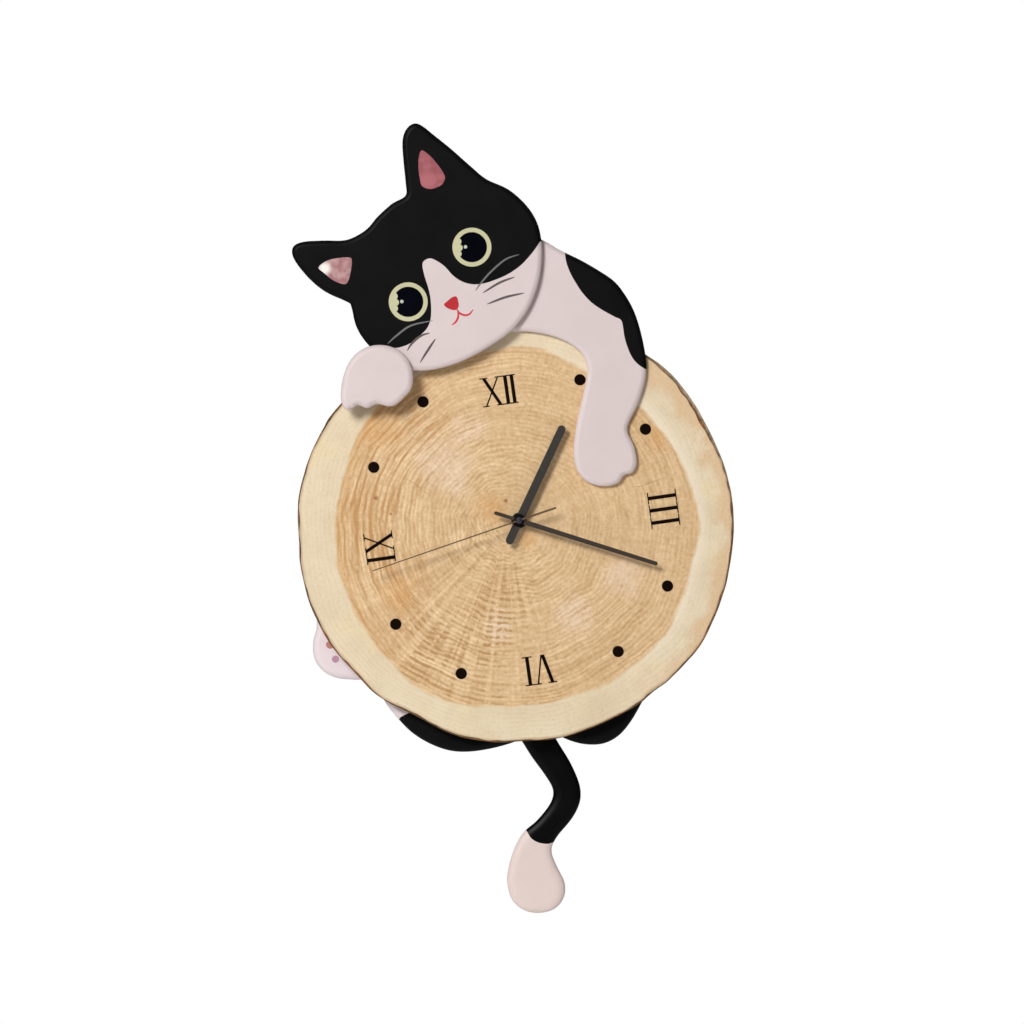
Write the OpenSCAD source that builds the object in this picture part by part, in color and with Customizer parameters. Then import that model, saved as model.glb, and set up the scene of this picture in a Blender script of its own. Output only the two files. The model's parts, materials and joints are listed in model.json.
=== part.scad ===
// Wall clock: a round slice of tree with a cat climbing over it, whose tail is the pendulum.
// Every sub-part is modelled lying flat: +X to the right, +Y up the dial and +Z towards the room,
// with the spindle at X = Y = 0 and Z = 0 at the back of the steel hanger. stand() then stands it up,
// so that in the finished clock +X is right, -Y faces the room, +Z is up and the origin is the
// centre of the hanger's round hole.

/* [Wood slice] */
// Thickness of the wood slice
slice_t = 10; // [8:0.5:12]
// Radius of the hole for the spindle bush
slice_hole_r = 4; // [3.8:0.1:4.5]

/* [Cat] */
// Thickness of the shoulder and arm
arm_t = 5.5; // [4.5:0.5:5.5]
// Thickness of the head
head_t = 6.5; // [5:0.5:8]
// Thickness of the left paw
paw_t = 6; // [5:0.5:8]
// Thickness of the body and hind foot behind the slice
body_t = 6; // [5:0.5:6]
// Thickness of the tail
tail_t = 7; // [6:0.5:7]
// Rounding of the painted edges
edge_r = 2.5; // [1.5:0.5:2.5]

/* [Marks] */
// Distance of the hour dots from the middle of their ring
dot_ring_r = 109.3; // [105:0.1:112]
// Diameter of an hour dot
dot_d = 7.8; // [5:0.2:8]
// Height of a numeral
numeral_h = 20; // [16:1:22]
// How far the ring of marks is turned back from upright, in degrees
dial_turn = 8; // [0:1:12]
// Thickness of the marks
mark_t = 0.3; // [0.2:0.1:0.4]

/* [Hands] */
// Length of the hour hand from the spindle to its tip
hour_len = 72; // [60:1:75]
// Width of the hour hand
hour_w = 5.8; // [4:0.1:6]
// Length of the minute hand
minute_len = 100; // [90:1:105]
// Width of the minute hand at the spindle
minute_w = 3.5; // [3:0.1:4]
// Length of the second hand
second_len = 107; // [95:1:107]
// Where the hour hand points at rest, in degrees clockwise from upright
hour_at = 25; // [0:1:359]
// Where the minute hand points at rest
minute_at = 107.5; // [0:0.5:359]
// Where the second hand points at rest
second_at = 251; // [0:1:359]

/* [Movement] */
// Width of the movement's case
case_w = 56; // [56:1:60]
// Depth of the movement's case
case_t = 16; // [16:0.5:17]
// Wall of the case
wall = 1.4; // [1.2:0.1:1.6]
// Outer radius of the spindle bush
bush_r = 3.5; // [3.4:0.1:3.6]
// Radial running clearance of every shaft in its hole
run = 0.06; // [0.05:0.01:0.08]
// Radius of the hanger's round hole
hanger_hole_r = 4; // [3.5:0.1:4.5]

/* [Hidden] */

$fn = 64;

// Depths along the spindle, counted from the back of the hanger towards the room.
hanger_t = 1.2;
wall_z = -5;
case_z0 = hanger_t;
case_z1 = case_z0 + case_t;
cover_t = 1.4;
front_wall_t = 1.2;
inside_z0 = case_z0 + cover_t;
inside_z1 = case_z1 - front_wall_t;
gasket_t = 0.8;
slice_z0 = case_z1 + gasket_t;
slice_z1 = slice_z0 + slice_t;
arm_z1 = slice_z1 + arm_t;
head_z1 = arm_z1 + head_t;
paw_z1 = head_z1 + paw_t;
body_z0 = slice_z0 - body_t;
tail_z1 = body_z0 - 1.5;
tail_z0 = tail_z1 - tail_t;

// The three hands pass in front of the arm, one above the other.
hand_t = 0.6;
hour_z = arm_z1 + 0.7;
hour_hub_z = hour_z - 0.4;
minute_z = hour_z + 2.2;
second_z = minute_z + 2;
second_hand_t = 0.4;
hub_t = 1;             // thickness of a hand's hub
hour_hub_r = 4.4;
minute_hub_r = 3.4;
minute_tip_w = 2.8;
hour_tail = 18;        // how far each hand reaches behind the spindle
minute_tail = 18;
minute_tail_w = 2.6;
second_tail = 27;

// Places on the dial, counted from the spindle.
hang_rise = 35;       // the hanger's round hole
slice_x = 0.5;        // the middle of the slice
slice_y = -2;
ring_x = 1;           // the middle of the ring of marks, printed a little low
ring_y = -4.3;

// Movement case: three bays, with the train on top, then the battery, then the pendulum drive.
case_top = 28;
case_bottom = -46;
battery_y = -20.2;
battery_r = 7.25;
battery_len = 50.5;
battery_z = case_z0 + battery_r + 0.2;
bay_y1 = -12.65;
bay_y0 = -27.75;
rib_t = 1;
pivot_y = -31.5;

// Train: levels from the back forwards, teeth, modules and places.
wheel_t = 0.7;
bridge_z = inside_z0 + 1.2;
plate_t = 1;
rotor_level = bridge_z + plate_t + 0.2;
second_level = rotor_level + 1.2;
third_level = second_level + 1.2;
middle_z = third_level + 1.1;
minute_level = middle_z + plate_t + 0.4;
motion_level = minute_level + 1.5;
hour_level = motion_level + 1.5;
rotor_m = 0.22;
second_m = 0.25;
third_m = 0.36;
minute_m = 0.34;
motion_m = 0.5;
hour_m = 0.48;
third_boss_z = minute_level + 1.3;
motion_boss_z = hour_level + 1.5;
motion_shaft_z = -1.2;
third_dist = third_m * (8 + 60) / 2;
motion_dist = motion_m * (12 + 36) / 2;
intermediate_dist = second_m * (10 + 60) / 2;
rotor_dist = rotor_m * (10 + 50) / 2;
third_dir = 78;
motion_dir = 10;
intermediate_dir = 150;
rotor_dir = 170;
third_at = along(third_dist, third_dir);
motion_at = along(motion_dist, motion_dir);
intermediate_at = along(intermediate_dist, intermediate_dir);
rotor_at = intermediate_at + along(rotor_dist, rotor_dir);
second_shaft_r = 0.6;
minute_pipe_r = 1.75;
hour_pipe_r = 2.5;
knob_shaft_r = 1.5;
thin_shaft_r = 0.5;
magnet_r = 2.5;
coil_x = -23;
coil_y = 6.5;
coil_r = 3.1;
coil_len = 17;

// Pendulum: the lever hangs on the pivot pin and the tail hangs on the lever.
pin_r = 1;
lever_z0 = 5.5;
lever_t = 3;
lever_w = 5;
lever_eye_r = 2.3;
lever_z1 = lever_z0 + lever_t;
magnet_y = -38.5;
drive_magnet_t = 1.8;
eye_y = -53;
peg_r = 1.2;
rod_t = 1.2;
rod_end_y = -98;
play = 0.3;           // end play of the moving pieces
pin_boss_r = 2.2;
pin_z0 = case_z0 + 0.6;

function along(d, a) = [d * cos(a), d * sin(a)];

// Closed smooth curve through the points p, with n steps for each.
function curve(p, n) = [for (i = [0:len(p) - 1], k = [0:n - 1])
  let (l = len(p), a = p[(i + l - 1) % l], b = p[i], c = p[(i + 1) % l], d = p[(i + 2) % l], t = k / n)
  0.5 * (2 * b + (c - a) * t + (2 * a - 5 * b + 4 * c - d) * t * t
    + (3 * b - a - 3 * c + d) * t * t * t)];

// The point i of the outline o, moved inwards by d. The outline runs anticlockwise.
function inwards(o, i, d) = let (l = len(o), v = o[(i + 1) % l] - o[(i + l - 1) % l])
  o[i] + d * [-v[1], v[0]] / norm(v);

// Stands a flat sub-part up, with the spindle below the origin.
module stand() {
  translate([0, 0, -hang_rise]) rotate([90, 0, 0]) children();
}

// Draws in the coordinates of the slice, whose middle isn't quite the spindle.
module on_slice() {
  translate([slice_x, slice_y, 0]) children();
}

// A flat board between two depths.
module board(z0, z1) {
  translate([0, 0, z0]) linear_extrude(z1 - z0) children();
}

// A round bar or a bore between two depths.
module bar(r, z0, z1, at = [0, 0]) {
  translate([at[0], at[1], z0]) cylinder(r = r, h = z1 - z0);
}

// Twice the area of the triangle a, b, c, positive when it runs anticlockwise.
function turn(a, b, c) = (b[0] - a[0]) * (c[1] - a[1]) - (b[1] - a[1]) * (c[0] - a[0]);

// Whether cutting the corner k off the loop of points of o leaves no other point outside.
function is_ear(o, loop, k) = let (l = len(loop), a = loop[k - 1], b = loop[k], c = loop[(k + 1) % l])
  turn(o[a], o[b], o[c]) > 0 && len([for (j = loop) if (j != a && j != b && j != c
    && turn(o[a], o[b], o[j]) >= 0 && turn(o[b], o[c], o[j]) >= 0 && turn(o[c], o[a], o[j]) >= 0) j]) == 0;
function next_ear(o, loop, k = 1) = is_ear(o, loop, k) ? k : next_ear(o, loop, k + 1);

// Triangles that fill the loop of points of o, made by cutting off one corner after another.
function triangles(o, loop) = len(loop) == 3 ? [loop]
  : let (l = len(loop), k = next_ear(o, loop), rest = [for (i = [1:l - 1]) loop[(k + i) % l]])
    concat([[loop[k - 1], loop[k], loop[(k + 1) % l]]], triangles(o, rest));

// A board of the outline o whose front edge is rounded, and its back edge too if both is true.
module rounded_board(o, z0, z1, r, both = false) {
  n = len(o);
  turns = [0, 30, 60, 90];
  front = [for (a = turns) [r * (1 - cos(a)), z1 - r * (1 - sin(a))]];
  back = both ? [for (a = turns) [r * (1 - sin(a)), z0 + r * (1 - cos(a))]] : [[0, z0]];
  rings = concat(back, front);
  outlines = [for (g = rings) [for (i = [0:n - 1]) inwards(o, i, g[0])]];
  points = [for (k = [0:len(rings) - 1], p = outlines[k]) [p[0], p[1], rings[k][1]]];
  sides = [for (k = [0:len(rings) - 2], i = [0:n - 1])
    let (a = k * n + i, b = k * n + (i + 1) % n) each [[a, a + n, b + n], [a, b + n, b]]];
  last = len(rings) - 1;
  loop = [for (i = [0:n - 1]) i];
  back_face = triangles(outlines[0], loop);
  front_face = [for (t = triangles(outlines[last], loop)) [t[2], t[1], t[0]] + last * n * [1, 1, 1]];
  polyhedron(points, concat(back_face, sides, front_face), convexity = 10);
}

// A wood or machine screw lying along Z: a shank, and a domed head on its back end.
module screw(r, head_r, z_head, z_tip, at) {
  head_h = head_r * 0.6;
  translate([at[0], at[1], 0]) difference() {
    union() {
      bar(r, z_head, z_tip);
      translate([0, 0, z_head]) rotate_extrude() intersection() {
        translate([0, head_r * 0.8]) circle(r = head_r * 1.28, $fn = 96);
        translate([0, -head_h]) square([head_r, head_h]);
      }
    }
    translate([0, 0, z_head - head_h]) {
      cube([head_r * 1.1, head_r * 0.28, head_h * 0.9], center = true);
      cube([head_r * 0.28, head_r * 1.1, head_h * 0.9], center = true);
    }
  }
}

// Gear outline: n teeth of module m, a tooth centred at the angle turn.
module teeth(n, m, turn = 0) {
  r = m * n / 2;
  half = 90 / n * 0.85;
  flank = [[r - 1.15 * m, 1.12 * half], [r, half], [r + 0.45 * m, 0.8 * half], [r + 0.9 * m, 0.42 * half]];
  count = len(flank) - 1;
  polygon([for (i = [0:n - 1])
    each concat([for (k = [0:count]) along(flank[k][0], 360 * i / n + turn - flank[k][1])],
      [for (k = [count:-1:0]) along(flank[k][0], 360 * i / n + turn + flank[k][1])])]);
}

// A flat wheel with round lightening holes between its hub and its rim.
module wheel(n, m, z, turn, holes = 5) {
  r = m * n / 2;
  rim_r = r - 2.2 * m;
  hub_r = r * 0.22;
  mid_r = (rim_r + hub_r) / 2;
  board(z, z + wheel_t) difference() {
    teeth(n, m, turn);
    for (i = [0:1:holes - 1]) translate(along(mid_r, 360 * i / holes)) circle(r = (rim_r - hub_r) * 0.36);
  }
}

// Wood slice with its bark edge cut to the tree's own outline.
slice_edge = [[-126.5, 79.5], [-137, 63.3], [-147, 41], [-153.3, 16], [-152.8, -8], [-151.8, -29],
  [-145.6, -54.5], [-132.5, -81.5], [-114.6, -103], [-96.6, -120.5], [-73, -132.5], [-46, -146],
  [-19, -151], [4, -150.5], [30, -148], [56, -139], [81, -126], [93, -115.8], [104, -107.5],
  [125, -84], [139, -54], [145.5, -28], [148, 0], [145, 26], [137, 51], [122.5, 79.8],
  [105.5, 102.3], [86.5, 117.2], [60, 133], [32, 143], [0, 147], [-34, 143], [-68, 130],
  [-100, 106]];

module wood_slice() {
  color("burlywood") stand() difference() {
    on_slice() board(slice_z0, slice_z1) polygon(curve(slice_edge, 4));
    bar(slice_hole_r, slice_z0, slice_z1);
    body_screw_holes();
  }
}

// Strokes of the numerals: thick ones, thin ones and the short bars that end them.
thick_w = 2.4;
thin_w = 1;
serif_t = 0.7;

module stroke(x0, x1, w) {
  half = numeral_h / 2;
  polygon([[x0 - w / 2, half], [x1 - w / 2, -half], [x1 + w / 2, -half], [x0 + w / 2, half]]);
}

module serif(x, len, top) {
  y = top ? numeral_h / 2 - serif_t : -numeral_h / 2;
  translate([x - len / 2, y]) square([len, serif_t]);
}

module letter_i(x, serif_len) {
  stroke(x, x, thick_w);
  for (top = [true, false]) serif(x, serif_len, top);
}

module letter_v(x) {
  stroke(x - 5, x - 0.3, thick_w);
  stroke(x + 5.2, x + 0.6, thin_w);
  serif(x - 5, 6, true);
  serif(x + 5.2, 5, true);
}

module letter_x(x) {
  stroke(x - 4.9, x + 4.9, thick_w);
  stroke(x + 5.2, x - 5.4, thin_w);
  serif(x - 4.9, 5.6, true);
  serif(x + 5.2, 4.6, true);
  serif(x + 4.9, 5.6, false);
  serif(x - 5.4, 4.6, false);
}

// Places a numeral on the ring: hour, distance of its middle from the ring's middle, and sideways shift.
module numeral(hour, r, shift = 0) {
  color("black") stand() translate([ring_x, ring_y, 0]) rotate(dial_turn - 30 * hour)
    translate([shift, r, 0]) board(slice_z1, slice_z1 + mark_t) children();
}

module numeral_xii() {
  numeral(12, 95, -1.4) { letter_x(-5); letter_i(5, 5.2); letter_i(9.5, 5.2); }
}

module numeral_iii() {
  numeral(3, 99.4, 1.7) { for (k = [-1:1]) letter_i(8.6 * k, 8); }
}

module numeral_vi() {
  numeral(6, 99.6, 1.8) { letter_v(-4); letter_i(6.6, 6.8); }
}

module numeral_ix() {
  numeral(9, 98.4, 1.6) { letter_i(-10.2, 5.8); letter_x(0.8); }
}

// A dot at every hour that has no numeral.
module hour_dots() {
  color("black") stand() translate([ring_x, ring_y, 0])
    for (hour = [1:11]) if (hour % 3 != 0)
      bar(dot_d / 2, slice_z1, slice_z1 + mark_t, along(dot_ring_r, 90 + dial_turn - 30 * hour));
}

// Shoulder and arm: the neck lies under the head, the arm hangs over the slice and ends in a paw.
arm_edge = [[15.5, 195.5], [2, 200], [-14, 199], [-32, 192], [-52, 180], [-66, 164], [-73, 147],
  [-68, 130], [-53, 123], [-34, 127], [-18, 131], [-3, 132.3], [13, 131.2], [28, 127], [39, 120.5],
  [45, 113], [46.5, 104], [43.8, 90], [39.6, 71], [37, 52], [38.5, 39], [44.5, 30], [53, 26],
  [62, 25.8], [68.5, 28.2], [72, 33], [78, 35.2], [80.8, 42], [79, 53], [74.3, 65.5], [81, 81],
  [86, 96], [87.4, 108], [85.8, 121], [82.3, 136], [78, 148], [72, 158.5], [65, 167], [55, 174],
  [42, 181.5], [28, 188.3]];

module shoulder_and_arm() {
  color("mistyrose") stand() on_slice()
    rounded_board(curve(arm_edge, 3), slice_z1, arm_z1, edge_r);
}

// Head, tipped to the left, with its two ears.
head_edge = [[-72.5, 275.3], [-78, 271.5], [-80.8, 263], [-80, 248], [-78.6, 234], [-78.8, 225.5],
  [-88, 220], [-98, 211], [-106, 202], [-119, 195.2], [-134, 194.7], [-149, 193.8], [-156.2, 190],
  [-155.5, 182], [-146, 169.5], [-134, 159.5], [-119, 152.5], [-116, 149], [-113, 136.5],
  [-107, 126], [-97, 116], [-82, 107], [-68, 105], [-54, 107], [-39, 112], [-22, 121], [-6, 132.4],
  [5.5, 147], [12.5, 164], [15.2, 181], [14.8, 195], [11.5, 208], [4, 219.5], [-8, 230],
  [-23, 237], [-34, 246], [-47, 257.5], [-60, 268], [-67, 273.5]];

module head() {
  color("dimgray") stand() on_slice() rounded_board(curve(head_edge, 3), arm_z1, head_z1, edge_r);
}

// Left paw, in front of the head's lower corner, on a block that stands on the slice.
paw_edge = [[-97, 122.7], [-105, 121.2], [-112, 117], [-117.5, 110.5], [-121, 102], [-123, 91.5],
  [-122.6, 83], [-119.5, 78.2], [-115, 79], [-111, 81.2], [-105, 79.2], [-98, 82], [-90, 80.3],
  [-84, 82.3], [-78.5, 87.5], [-74.5, 92.5], [-73.3, 100], [-75, 109], [-80, 116.5], [-88, 121.3]];
spacer_at = [-101, 97];
spacer_r = 11;

module left_paw() {
  color("mistyrose") stand() on_slice() rounded_board(curve(paw_edge, 4), head_z1, paw_z1, edge_r);
}

module paw_spacer() {
  color("saddlebrown") stand() on_slice() bar(spacer_r, slice_z1, head_z1, spacer_at);
}

// Body behind the slice: hind foot at the left, rump at the right, and a dip above the tail.
body_edge = [[-140, -65], [-140.8, -73], [-143, -82], [-142.8, -91], [-139.5, -98.5], [-133.5, -104.2],
  [-125, -107.4], [-115, -108.3], [-105, -109], [-98.5, -113.8], [-92.6, -124.8], [-85.2, -134.2],
  [-75, -144.6], [-62.8, -152.3], [-49.4, -157.2], [-36, -158.2], [-20, -156], [-4, -151.5], [6, -146],
  [15, -141], [23, -144.5], [33, -149.8], [45, -153], [57.5, -152.6], [68, -147.4], [76.5, -137.8],
  [84, -125], [91, -111], [93, -97], [87, -83], [74, -71], [56, -62], [32, -57], [4, -55],
  [-30, -54], [-65, -54], [-95, -52], [-118, -49], [-133, -53]];
body_screw_at = [[-108, -72], [-62, -128], [48, -128], [78, -88]];
body_screw_r = 1.5;
body_screw_end = body_z0 + 14;

module body_screw_holes() {
  on_slice() for (p = body_screw_at) bar(body_screw_r, body_z0, body_screw_end, p);
}

module body_and_hind_foot() {
  color("dimgray") stand() difference() {
    on_slice() rounded_board(curve(body_edge, 3), body_z0, slice_z0, edge_r);
    body_screw_holes();
  }
}

module body_screws() {
  color("silver") stand() on_slice()
    for (p = body_screw_at) screw(body_screw_r, 2 * body_screw_r, body_z0, body_screw_end, p);
}

// Rubber feet that keep the clock's lower half off the wall.
bumper_at = [[-88, -100], [72, -108]];

module wall_bumpers() {
  color("darkslategray") stand() on_slice() for (p = bumper_at)
    translate([p[0], p[1], wall_z]) rotate_extrude()
      polygon([[0, 0], [6.5, 0], [7.5, 1], [8, body_z0 - wall_z], [0, body_z0 - wall_z]]);
}

// Steel plate on the back of the movement: a round hole with a notch above it, for a nail.
hanger_w = 18;
hanger_foot_y = 18;
notch_r = 1.8;
notch_rise = hanger_hole_r + 1.2;
rivet_at = [[-5.5, 22.5], [5.5, 22.5]];
rivet_r = 1.2;
rivet_head_r = 2.1;

module hanger_plate() {
  color("silver") stand() difference() {
    board(0, hanger_t) {
      translate([-hanger_w / 2, hanger_foot_y]) square([hanger_w, hang_rise - hanger_foot_y]);
      translate([0, hang_rise]) circle(r = hanger_w / 2);
    }
    bar(hanger_hole_r, 0, hanger_t, [0, hang_rise]);
    board(0, hanger_t) translate([0, hang_rise]) {
      translate([-notch_r, 0]) square([2 * notch_r, notch_rise]);
      translate([0, notch_rise]) circle(r = notch_r);
    }
    for (p = rivet_at) bar(rivet_r, 0, hanger_t, p);
  }
}

module hanger_rivets() {
  color("gray") stand() for (p = rivet_at) {
    bar(rivet_r, 0, inside_z0, p);
    bar(rivet_head_r, -0.6, 0, p);
  }
}

// Screws at the case's corners hold the cover on.
cover_screw_at = [[-24.6, 25], [24.6, 25], [-24.6, -9], [24.6, -9], [-24.6, -42.5], [24.6, -42.5]];
cover_screw_r = 0.9;
cover_screw_end = inside_z0 + 7;
post_r = 1.9;

module case_outline(inset = 0) {
  r = 3;
  x = case_w / 2 - r;
  hull() for (i = [-1, 1], y = [case_bottom + r, case_top - r]) translate([i * x, y]) circle(r = r - inset);
}

// Front half of the case: tray with ribs between its three bays, posts for the screws and the train.
bridge_post_at = [[-17, -7.5], [19.5, 14], [-8.5, 23]];
bridge_post_r = 1.7;
bridge_screw_r = 0.7;
bridge_screw_end = middle_z + 4.5;
small_boss_r = 1.6;
slot_w = 13;
slot_margin = 1;

module movement_case() {
  color("gainsboro") stand() difference() {
    union() {
      board(inside_z1, case_z1) case_outline();
      board(inside_z0, inside_z1) difference() {
        case_outline();
        case_outline(wall);
      }
      board(inside_z0, inside_z1) for (y = [bay_y1, bay_y0 - rib_t])
        translate([wall - case_w / 2, y]) square([case_w - 2 * wall, rib_t]);
      for (p = cover_screw_at) bar(post_r, inside_z0, inside_z1, p);
      for (p = bridge_post_at) bar(bridge_post_r, middle_z + plate_t, inside_z1, p);
      for (p = board_peg_at) bar(board_peg_r, board_z + board_t, inside_z1, p);
      bar(small_boss_r, third_boss_z, inside_z1, third_at);
      bar(small_boss_r, motion_boss_z, inside_z1, motion_at);
      bar(pin_boss_r, lever_z1 + play, inside_z1, [0, pivot_y]);
    }
    bar(bush_r, inside_z1, case_z1);
    for (p = cover_screw_at) bar(cover_screw_r, inside_z0, cover_screw_end, p);
    for (p = bridge_post_at) bar(bridge_screw_r, middle_z + plate_t, bridge_screw_end, p);
    bar(thin_shaft_r + run, third_boss_z, inside_z1, third_at);
    bar(second_shaft_r + run, motion_boss_z, inside_z1, motion_at);
    bar(pin_r, lever_z1 + play, inside_z1, [0, pivot_y]);
    translate([-slot_w / 2, case_bottom - slot_margin, lever_z0 - slot_margin])
      cube([slot_w, wall + 2 * slot_margin, lever_t + 2 * slot_margin]);
  }
}

// Back cover, open over the battery, with a hole for the setting shaft.
module back_cover() {
  hatch_w = battery_len + 1.6;
  color("whitesmoke") stand() difference() {
    union() {
      board(case_z0, inside_z0) difference() {
        case_outline();
        translate([-hatch_w / 2, bay_y0]) square([hatch_w, bay_y1 - bay_y0]);
      }
      bar(pin_boss_r, inside_z0, lever_z0 - play, [0, pivot_y]);
    }
    bar(knob_shaft_r + play, case_z0, inside_z0, motion_at);
    for (p = cover_screw_at) bar(cover_screw_r, case_z0, inside_z0, p);
    for (p = rivet_at) bar(rivet_r, case_z0, inside_z0, p);
    bar(pin_r, pin_z0, lever_z0 - play, [0, pivot_y]);
  }
}

module cover_screws() {
  color("silver") stand() for (p = cover_screw_at)
    screw(cover_screw_r, 1.7, case_z0, cover_screw_end, p);
}

// Rubber ring between the movement and the slice.
module gasket() {
  color("darkslategray") stand() difference() {
    bar(10, case_z1, slice_z0);
    bar(bush_r, case_z1, slice_z0);
  }
}

// Flanged bush that clamps the movement to the slice, with a round nut on the face.
bush_end = slice_z1 + 3.4;
flange_t = 0.8;
nut_t = 2.6;
nut_r = 5.4;
nut_notch = [2.4, 1.6, 2];

module spindle_bush() {
  color("goldenrod") stand() difference() {
    union() {
      bar(bush_r + 2, inside_z1 - flange_t, inside_z1);
      bar(bush_r, inside_z1, bush_end);
    }
    bar(hour_pipe_r + run, inside_z1 - flange_t, bush_end);
  }
}

module bush_nut() {
  color("black") stand() difference() {
    bar(nut_r, slice_z1, slice_z1 + nut_t);
    bar(bush_r, slice_z1, slice_z1 + nut_t);
    for (i = [0:3]) rotate(90 * i) translate([nut_r, 0, slice_z1 + nut_t]) cube(nut_notch, center = true);
  }
}

// Plates that carry the train: one in the middle and one behind.
module plate_outline() {
  hull() for (p = bridge_post_at) translate(p) circle(r = 2.8);
  hull() for (p = [rotor_at, bridge_post_at[1], motion_at]) translate(p) circle(r = 3.2);
}

module middle_plate() {
  color("white") stand() difference() {
    board(middle_z, middle_z + plate_t) plate_outline();
    for (p = bridge_post_at) bar(bridge_screw_r, middle_z, middle_z + plate_t, p);
    bar(second_shaft_r + 0.3, middle_z, middle_z + plate_t);
    bar(thin_shaft_r + 0.3, middle_z, middle_z + plate_t, third_at);
    bar(knob_shaft_r + 0.2, middle_z, middle_z + plate_t, motion_at);
    for (p = [intermediate_at, rotor_at]) bar(thin_shaft_r + run, middle_z, middle_z + plate_t, p);
  }
}

module train_bridge() {
  color("white") stand() difference() {
    union() {
      board(bridge_z, bridge_z + plate_t) plate_outline();
      for (p = bridge_post_at) bar(bridge_post_r, bridge_z + plate_t, middle_z, p);
    }
    for (p = bridge_post_at) bar(bridge_screw_r, bridge_z, middle_z, p);
    bar(second_shaft_r + run, bridge_z, bridge_z + plate_t);
    bar(knob_shaft_r + run, bridge_z, bridge_z + plate_t, motion_at);
    for (p = [third_at, intermediate_at, rotor_at]) bar(thin_shaft_r + run, bridge_z, bridge_z + plate_t, p);
  }
}

module bridge_screws() {
  color("silver") stand() for (p = bridge_post_at)
    screw(bridge_screw_r, 2 * bridge_screw_r, bridge_z, bridge_screw_end, p);
}

// AA cell lying across the case, with its button to the right.
module battery() {
  r = battery_r;
  half = battery_len / 2;
  color("darkorange") stand() translate([0, battery_y, battery_z]) rotate([0, 90, 0]) rotate_extrude()
    polygon([[0, -half], [r - 0.8, -half], [r, 0.8 - half], [r, half - 2.1], [r - 0.8, half - 1.3],
      [2.75, half - 1.3], [2.75, half], [0, half]]);
}

// Leaf contacts at the two ends of the battery.
contact_gap = case_w / 2 - wall - battery_len / 2;
contact_w = 9;

module contact(side, bump_r) {
  plate = 0.4;
  stand() translate([0, battery_y, battery_z]) rotate([0, 90 * side, 0]) translate([0, 0, battery_len / 2]) {
    translate([-contact_w / 2, -contact_w / 2, contact_gap - plate]) cube([contact_w, contact_w, plate]);
    cylinder(r = bump_r, h = contact_gap - plate);
  }
}

module positive_contact() {
  color("silver") contact(1, 2.2);
}

module negative_contact() {
  color("silver") contact(-1, 3);
}

// Circuit board with its sealed chip, and the tuning-fork crystal that lies on it.
board_x = 13;
board_y = 12.5;
board_z = motion_level + 0.6;
board_t = 0.8;
chip_t = 0.9;
board_peg_at = [[14.5, 14], [24.2, 18.6]];
board_peg_r = 1;

module circuit_board() {
  color("seagreen") stand() difference() {
    union() {
      translate([board_x, board_y, board_z]) cube([12.5, 9.5, board_t]);
      bar(2, board_z - chip_t, board_z, [board_x + 4.2, board_y + 5.5]);
    }
    bar(bridge_post_r + play, board_z - chip_t, board_z + board_t, bridge_post_at[1]);
  }
}

module quartz_crystal() {
  color("silver") stand() translate([board_x + 3, board_y + 8, board_z + board_t + 1])
    rotate([0, 90, 0]) cylinder(r = 1, h = 6.5);
}

// Lavet motor: coil on its core, stator plate, and the rotor magnet in the stator's hole.
core_t = 0.8;
core_w = 3;
stator_z = second_level + 0.4;

module motor_coil() {
  color("peru") stand() difference() {
    translate([coil_x, coil_y - coil_len / 2, stator_z + core_t / 2]) rotate([-90, 0, 0])
      cylinder(r = coil_r, h = coil_len);
    stator_core();
  }
}

module stator_core() {
  translate([coil_x - core_w / 2, coil_y - coil_len / 2 - core_w, stator_z])
    cube([core_w, coil_len + 2 * core_w, core_t]);
}

module stator() {
  color("slategray") stand() {
    stator_core();
    difference() {
      board(stator_z, stator_z + core_t) union() {
        translate(rotor_at) circle(r = magnet_r + 1.7);
        for (s = [-1, 1]) {
          y = coil_y + s * (coil_len + core_w) / 2;
          arm_x = coil_x + core_w / 2;
          translate([arm_x, y - core_w / 2]) square([rotor_at[0] - arm_x, core_w]);
          hull() {
            translate([rotor_at[0] - 1, y - core_w / 2]) square([core_w, core_w]);
            translate(rotor_at + [0, 1.5 * s]) circle(r = magnet_r, $fn = 32);
          }
        }
      }
      bar(magnet_r + 0.5, stator_z, stator_z + core_t, rotor_at);
    }
  }
}

module rotor() {
  color("dimgray") stand() {
    translate(rotor_at) board(rotor_level - 0.1, rotor_level + wheel_t + 0.1)
      teeth(10, rotor_m, rotor_dir + 180);
    bar(thin_shaft_r, bridge_z, middle_z + plate_t, rotor_at);
    bar(magnet_r, stator_z - 0.5, stator_z + 1.5, rotor_at);
  }
}

module intermediate_wheel() {
  color("ivory") stand() {
    translate(intermediate_at) {
      wheel(50, rotor_m, rotor_level, rotor_dir + 180 / 50, 4);
      board(rotor_level + wheel_t, second_level + wheel_t + 0.1) teeth(10, second_m, intermediate_dir + 180);
    }
    bar(thin_shaft_r, bridge_z, middle_z + plate_t, intermediate_at);
  }
}

// Second wheel, with the long arbor that carries the second hand.
module second_wheel() {
  color("ivory") stand() {
    wheel(60, second_m, second_level, intermediate_dir + 180 / 60);
    board(second_level + wheel_t, third_level + wheel_t + 0.1) teeth(8, third_m, third_dir);
    bar(second_shaft_r, bridge_z, second_z + second_hand_t);
  }
}

module third_wheel() {
  color("ivory") stand() {
    translate(third_at) {
      wheel(60, third_m, third_level, third_dir + 180 + 180 / 60);
      board(minute_level - 0.1, minute_level + wheel_t + 0.1) teeth(8, minute_m, third_dir + 180);
    }
    bar(thin_shaft_r, bridge_z, third_boss_z + 1.7, third_at);
  }
}

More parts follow.
